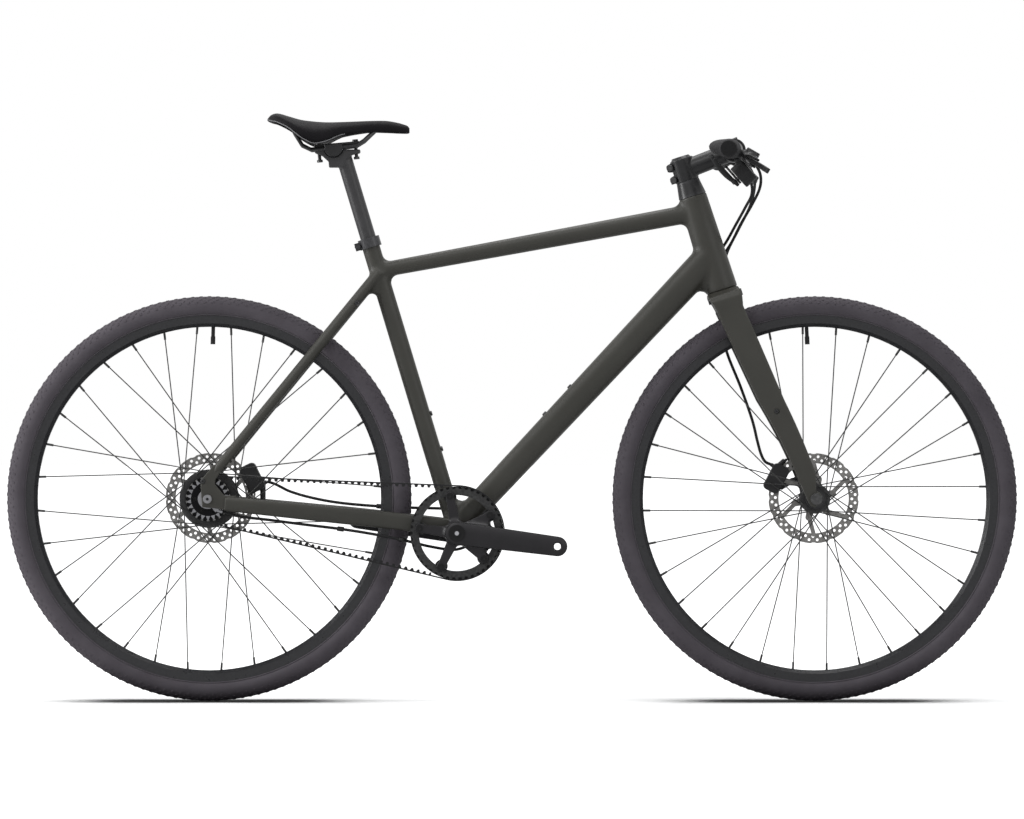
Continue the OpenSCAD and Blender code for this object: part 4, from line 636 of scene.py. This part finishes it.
def arch(st, cut, drop, steps=40):
    w = st[1] * 79 - cut
    h = max(st[2] - drop - st[3], 0.3)
    pts = []
    for k in range(steps + 1):
        a = math.radians(-90 + 180 * k / steps)
        s = math.sin(a)
        along = math.radians(max(0, min(180, (st[0] + 96) * 0.95)))
        groove = 1.6 * math.exp(-(s * w / 7.0) ** 2) * math.sin(along)
        pts.append(CLAMP + V((st[0], w * s * (1 - 0.07 * s ** 6),
                              st[3] + h * max(math.cos(a), 0) ** 0.62 - (0 if cut else groove))) / 1000)
    return pts


rings, edge_l, edge_r = [], [], []
for k in range(0, (len(STATIONS) - 1) * 4 + 1):
    st = saddle_station(k / 4)
    e = min(5, st[1] * 158 / 6)
    o = arch(st, 0, 0)
    i = arch(st, e, 13)
    rings.append(o + i[::-1])
    if st[0] < 30:
        edge_l.append(o[0] + V((0, -0.0001, 0.0016)))
        edge_r.append(o[-1] + V((0, 0.0001, 0.0016)))
cover = loft("saddle_padding", [r[::-1] for r in rings])
place(cover, "saddle", vinyl)
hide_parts("saddle_cover")
for name, line in (("saddle_piping_right", edge_l), ("saddle_piping_left", edge_r)):
    p = loft(name, tube_rings(line[1:-1], 0.0009, 10))
    place(p, "saddle", piping_highlight_mat)


# The pad of the main thumb lever: a thick, curved blade
pad = [V(q) / 1000 for q in ((340, -150, 942), (346, -149, 932), (355, -147, 919), (367, -144, 906), (380, -140, 896),
                             (387, -137, 890))]
ob = loft("shift_pad_main", tube_rings(catmull(pad, 4), [(0.0022 + 0.0024 * math.sin(math.pi * (i + 2) / 24), 0.0058)
                                                         for i in range(21)], 20, 2.6))
place(ob, "shift_lever_main", plastic)

# Handlebar grips with a wing for the palm and a clamp ring
def bar_point(side, s, x, y):
    m = (Matrix.Rotation(-SWEEP, 4, "Z") @ Matrix.Rotation(math.radians(90) + DROP, 4, "X"))
    p = BAR + V((0, -0.034, 0)) + m.to_3x3() @ V((x, y, s - 0.034))
    return V((p.x, p.y if side < 0 else -p.y, p.z))


for side, tag in ((-1, "right"), (1, "left")):
    rings = []
    for k in range(65):
        t = k / 64
        s = 0.1812 + 0.1276 * t
        end = min(1, t / 0.03, (1 - t) / 0.02)
        r = 0.0152 + 0.0016 * math.sin(math.pi * t) + 0.0004 * math.sin(t * 150)
        r = r - 0.0022 * (1 - end)
        wing = 0.0188 * max(0, math.sin(math.pi * min(1, max(0, (t - 0.12) / 0.84)))) ** 0.8
        ring = []
        for j in range(40):
            a = 2 * math.pi * j / 40
            lobe = max(0, math.cos(a - math.radians(171))) ** 4.5
            ring.append(bar_point(side, s, (r + wing * lobe) * math.cos(a), (r + wing * lobe * 0.7) * math.sin(a)))
        rings.append(ring if side < 0 else ring[::-1])
    ob = loft("grip_" + tag, rings)
    place(ob, "steering", grip_rubber)
    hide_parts("grips")
    ring = []
    for s, r in ((0.1800, 0.0150), (0.1805, 0.0165), (0.1880, 0.0170), (0.1895, 0.0165), (0.1900, 0.0150)):
        c = [bar_point(side, s, r * math.cos(a), r * math.sin(a)) for a in
             [2 * math.pi * j / 40 for j in range(40)]]
        ring.append(c if side < 0 else c[::-1])
    ob = loft("grip_clamp_" + tag, ring)
    place(ob, "steering", anodised)

# Hoses and shift cable, through the same points as their CAD solids
REAR_HOSE = [(407.2, -130, 934.1), (408.4, -112, 934.7), (419, -95, 926), (428, -77, 908), (427, -57, 886),
             (414, -36, 858), (396, -8, 826), (378, 20, 790), (352, 36, 756), (320, 38, 733),
             (296, 26, 716), (276, 12, 697), (240, 6, 660), (120, 6, 531), (0, 6, 403),
             (-22, 12, 379), (-48, 24, 353), (-90, 30, 335), (-150, 35, 334), (-230, 39, 337),
             (-300, 46, 343), (-350, 54, 352), (-385, 59, 362), (-402, 61, 370), (-414.1, 60.9, 376.0),
             (-426.8, 60.9, 379.7)]
SHIFT_CABLE = [(395.5, -110.6, 915.4), (396.5, -97, 915.8), (403, -82, 910), (413, -66, 892), (413, -50, 874),
               (404, -36, 856), (388, -10, 826), (368, 24, 790), (344, 35, 761), (315, 34, 740),
               (291, 25, 722), (271, 12, 703), (235, 3, 665), (120, -6, 531), (10, -6, 413),
               (-10, -7, 385), (-28, -8, 352), (-44, -10, 315), (-66, -13, 279), (-96, -17, 263),
               (-140, -24, 268), (-190, -32, 280), (-240, -37, 290), (-296, -44, 299), (-360, -53, 307),
               (-420, -60, 315), (-470, -62, 321), (-499, -62, 329.1)]
FRONT_HOSE = [(407.2, 130.4, 934.1), (408.4, 112, 934.7), (418, 98, 924), (424, 84, 900), (416, 72, 862),
              (395, 62, 820), (373, 58, 774), (363, 57, 720), (363, 59, 660), (374, 59, 606),
              (398, 56, 545), (418, 55, 488), (427, 51, 451), (433, 48, 429), (440, 47.4, 415.2),
              (449.9, 47.4, 409.9)]
for name, route, node in (("hose_rear", REAR_HOSE, "rear_brake_hose"), ("cable_shift", SHIFT_CABLE, "shift_cable"),
                          ("hose_front", FRONT_HOSE, "front_brake_hose")):
    pts = catmull([V(p) / 1000 for p in route], 6)
    w = (pts[1] - pts[0]).cross(V((0, 0, 1)))
    ob = loft(name, tube_rings(pts, 0.0025, 14, w=w))
    place(ob, "steering" if name == "hose_front" else None, rubber)
    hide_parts(node)
    if name != "hose_front":
        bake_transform(ob)

# Belt with teeth on its inner side along the free runs
F_R, R_R, L, PITCH = 46 * 0.011 / (2 * math.pi), 22 * 0.011 / (2 * math.pi), 0.4335, 0.011
slope = math.asin((F_R - R_R) / L)
up = math.pi / 2 + slope
tilt = -math.asin(0.059 / 0.4335)
run = L * math.cos(slope)


def belt_xy(x, z):
    return V((RA.x + x * math.cos(tilt) - z * math.sin(tilt), 0, RA.z + x * math.sin(tilt) + z * math.cos(tilt)))


def tooth(d):
    f = (d / PITCH) % 1
    return 0.0 if f < 0.42 or f > 0.96 else (0.0042 if 0.50 < f < 0.88 else 0.0022)


belt_pts = []
for i in range(60):
    a = up + (2 * math.pi - 2 * up) * i / 60
    belt_pts.append((0, 0, R_R, a, 0))
steps = int(run / 0.00065)
for i in range(steps):
    d = run * i / steps
    a = 2 * math.pi - up
    belt_pts.append((d * math.cos(-slope), d * math.sin(-slope), R_R, a, tooth(d) if 0.019 < d < run - 0.027 else 0))
for i in range(90):
    a = -up + 2 * up * i / 90
    belt_pts.append((L, 0, F_R, a, 0))
for i in range(steps):
    d = run * i / steps
    belt_pts.append((L - d * math.cos(slope), -d * math.sin(slope), F_R, up, tooth(d) if 0.027 < d < run - 0.019 else 0))
rings = []
for cx, cz, r, a, t in belt_pts:
    ca, sa = math.cos(a), math.sin(a)
    quad = []
    for rr, y in ((r + 0.0001 - t, -0.0539), (r + 0.0023, -0.0539), (r + 0.0023, -0.0421), (r + 0.0001 - t, -0.0421)):
        p = belt_xy(cx + rr * ca, cz + rr * sa)
        quad.append(V((p.x, y, p.z)))
    rings.append(quad)
belt = loft("toothed_belt", rings, closed=True)
place(belt, "frame", rubber, smooth=False)
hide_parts("belt")

# The thin fin in the middle of each toothed ring, which runs in the belt's centre slot
for name, centre, r_out, r_in, body in (("front_ring_fin", BB, F_R, F_R - 0.009, "crank"),
                                        ("rear_ring_fin", RA, R_R, R_R - 0.009, "rear_belt_ring")):
    ring = []
    for i in range(192):
        a = 2 * math.pi * i / 192
        ring.append([centre + V((r * math.cos(a), y, r * math.sin(a))) for r, y in
                     ((r_in, -0.0474), (r_out, -0.0474), (r_out, -0.0486), (r_in, -0.0486))])
    ob = loft(name, ring, closed=True)
    place(ob, body, ring_dark, smooth=False)

# Bright tooth flanks on the face of the rear ring
parts = []
for i in range(22):
    a = 2 * math.pi * (i + 0.5) / 22
    out_way, side_way = V((math.cos(a), 0, math.sin(a))), V((-math.sin(a), 0, math.cos(a)))
    tri = [RA + out_way * r + side_way * w + V((0, y, 0)) for y in (-0.0524, -0.0531)
           for r, w in ((0.0295, -0.0036), (0.0295, 0.0036), (0.0368, 0.0008), (0.0368, -0.0008))]
    parts.append((tri, [(0, 1, 2, 3), (7, 6, 5, 4), (0, 4, 5, 1), (1, 5, 6, 2), (2, 6, 7, 3), (3, 7, 4, 0)]))
ob = union("rear_ring_flanks", parts)
place(ob, "rear_belt_ring", steel, smooth=False)

# Cable clips under the right chainstay and a hose clip on the left one
for i, (p, d) in enumerate(((V((-0.296, -0.044, 0.299)), V((-64, -9, 8))), (V((-0.190, -0.032, 0.280)), V((-50, -5, 10))),
                            (V((-0.230, 0.039, 0.337)), V((-70, 7, 6))))):
    d.normalize()
    pts = [p + d * k for k in (-0.006, -0.0055, 0.0055, 0.006)]
    ob = loft("cord_clip_%d" % i, tube_rings(pts, [0.0028, 0.0042, 0.0042, 0.0028], 18))
    place(ob, "frame", plastic)

# Floor: pale, with the lamps' shadow of the object near it deepened by a painted contact shadow, and plain white
# further out
me = bpy.data.meshes.new("floor")
me.from_pydata([(-30, -9, 0), (30, -9, 0), (30, 60, 0), (-30, 60, 0)], [], [(0, 1, 2, 3)])
floor = bpy.data.objects.new("floor", me)
scene.collection.objects.link(floor)
fm = bpy.data.materials.new("floor")
fm.use_nodes = True
fn, fl = fm.node_tree.nodes, fm.node_tree.links
fb = fn["Principled BSDF"]
fb.inputs["Roughness"].default_value = 0.9
fb.inputs["Specular IOR Level"].default_value = 0.1
# Painted contact shadow: ambient occlusion, sharpened, darkens the floor's colour and its glow near the object
ao = fn.new("ShaderNodeAmbientOcclusion")
ao.samples = 40
ao.inputs["Distance"].default_value = 0.26
ao.inputs["Color"].default_value = (1, 1, 1, 1)
painted_shadow = fn.new("ShaderNodeMath")
painted_shadow.operation = "POWER"
painted_shadow.inputs[1].default_value = 1.15
shadow_sharpen = fn.new("ShaderNodeMapRange")
shadow_sharpen.inputs["From Min"].default_value = 0.78
shadow_sharpen.inputs["From Max"].default_value = 0.925
fl.new(ao.outputs["AO"], shadow_sharpen.inputs[0])
fl.new(shadow_sharpen.outputs[0], painted_shadow.inputs[0])
painted_shadow_colour = fn.new("ShaderNodeMix")
painted_shadow_colour.data_type = "RGBA"
painted_shadow_colour.inputs[6].default_value = (0.02, 0.02, 0.02, 1)
painted_shadow_colour.inputs[7].default_value = (0.8, 0.8, 0.8, 1)
fl.new(painted_shadow.outputs[0], painted_shadow_colour.inputs[0])
fl.new(painted_shadow_colour.outputs[2], fb.inputs["Base Color"])
ftc = fn.new("ShaderNodeTexCoord")
flen = fn.new("ShaderNodeVectorMath")
flen.operation = "LENGTH"
fsc = fn.new("ShaderNodeMapping")
fsc.inputs["Scale"].default_value = (0.55, 1, 0)
fl.new(ftc.outputs["Object"], fsc.inputs["Vector"])
fl.new(fsc.outputs[0], flen.inputs[0])
far = fn.new("ShaderNodeMapRange")
far.interpolation_type = "SMOOTHSTEP"
far.inputs["From Min"].default_value = 0.45
far.inputs["From Max"].default_value = 1.3
far.inputs["To Min"].default_value = 0.42
far.inputs["To Max"].default_value = 1.0
fl.new(flen.outputs["Value"], far.inputs[0])
# The floor glows for camera rays, weaker near the object and dimmed there by the painted contact shadow
fp = fn.new("ShaderNodeLightPath")
on = fn.new("ShaderNodeMath")
on.operation = "MULTIPLY"
shade = fn.new("ShaderNodeMath")
shade.operation = "MULTIPLY"
fl.new(fp.outputs["Is Camera Ray"], on.inputs[0])
fl.new(far.outputs[0], on.inputs[1])
fl.new(on.outputs[0], shade.inputs[0])
fl.new(painted_shadow.outputs[0], shade.inputs[1])
fem = fn.new("ShaderNodeEmission")
fl.new(shade.outputs[0], fem.inputs[1])
fadd = fn.new("ShaderNodeAddShader")
fl.new(fb.outputs[0], fadd.inputs[0])
fl.new(fem.outputs[0], fadd.inputs[1])
fl.new(fadd.outputs[0], fn["Material Output"].inputs[0])
me.materials.append(fm)
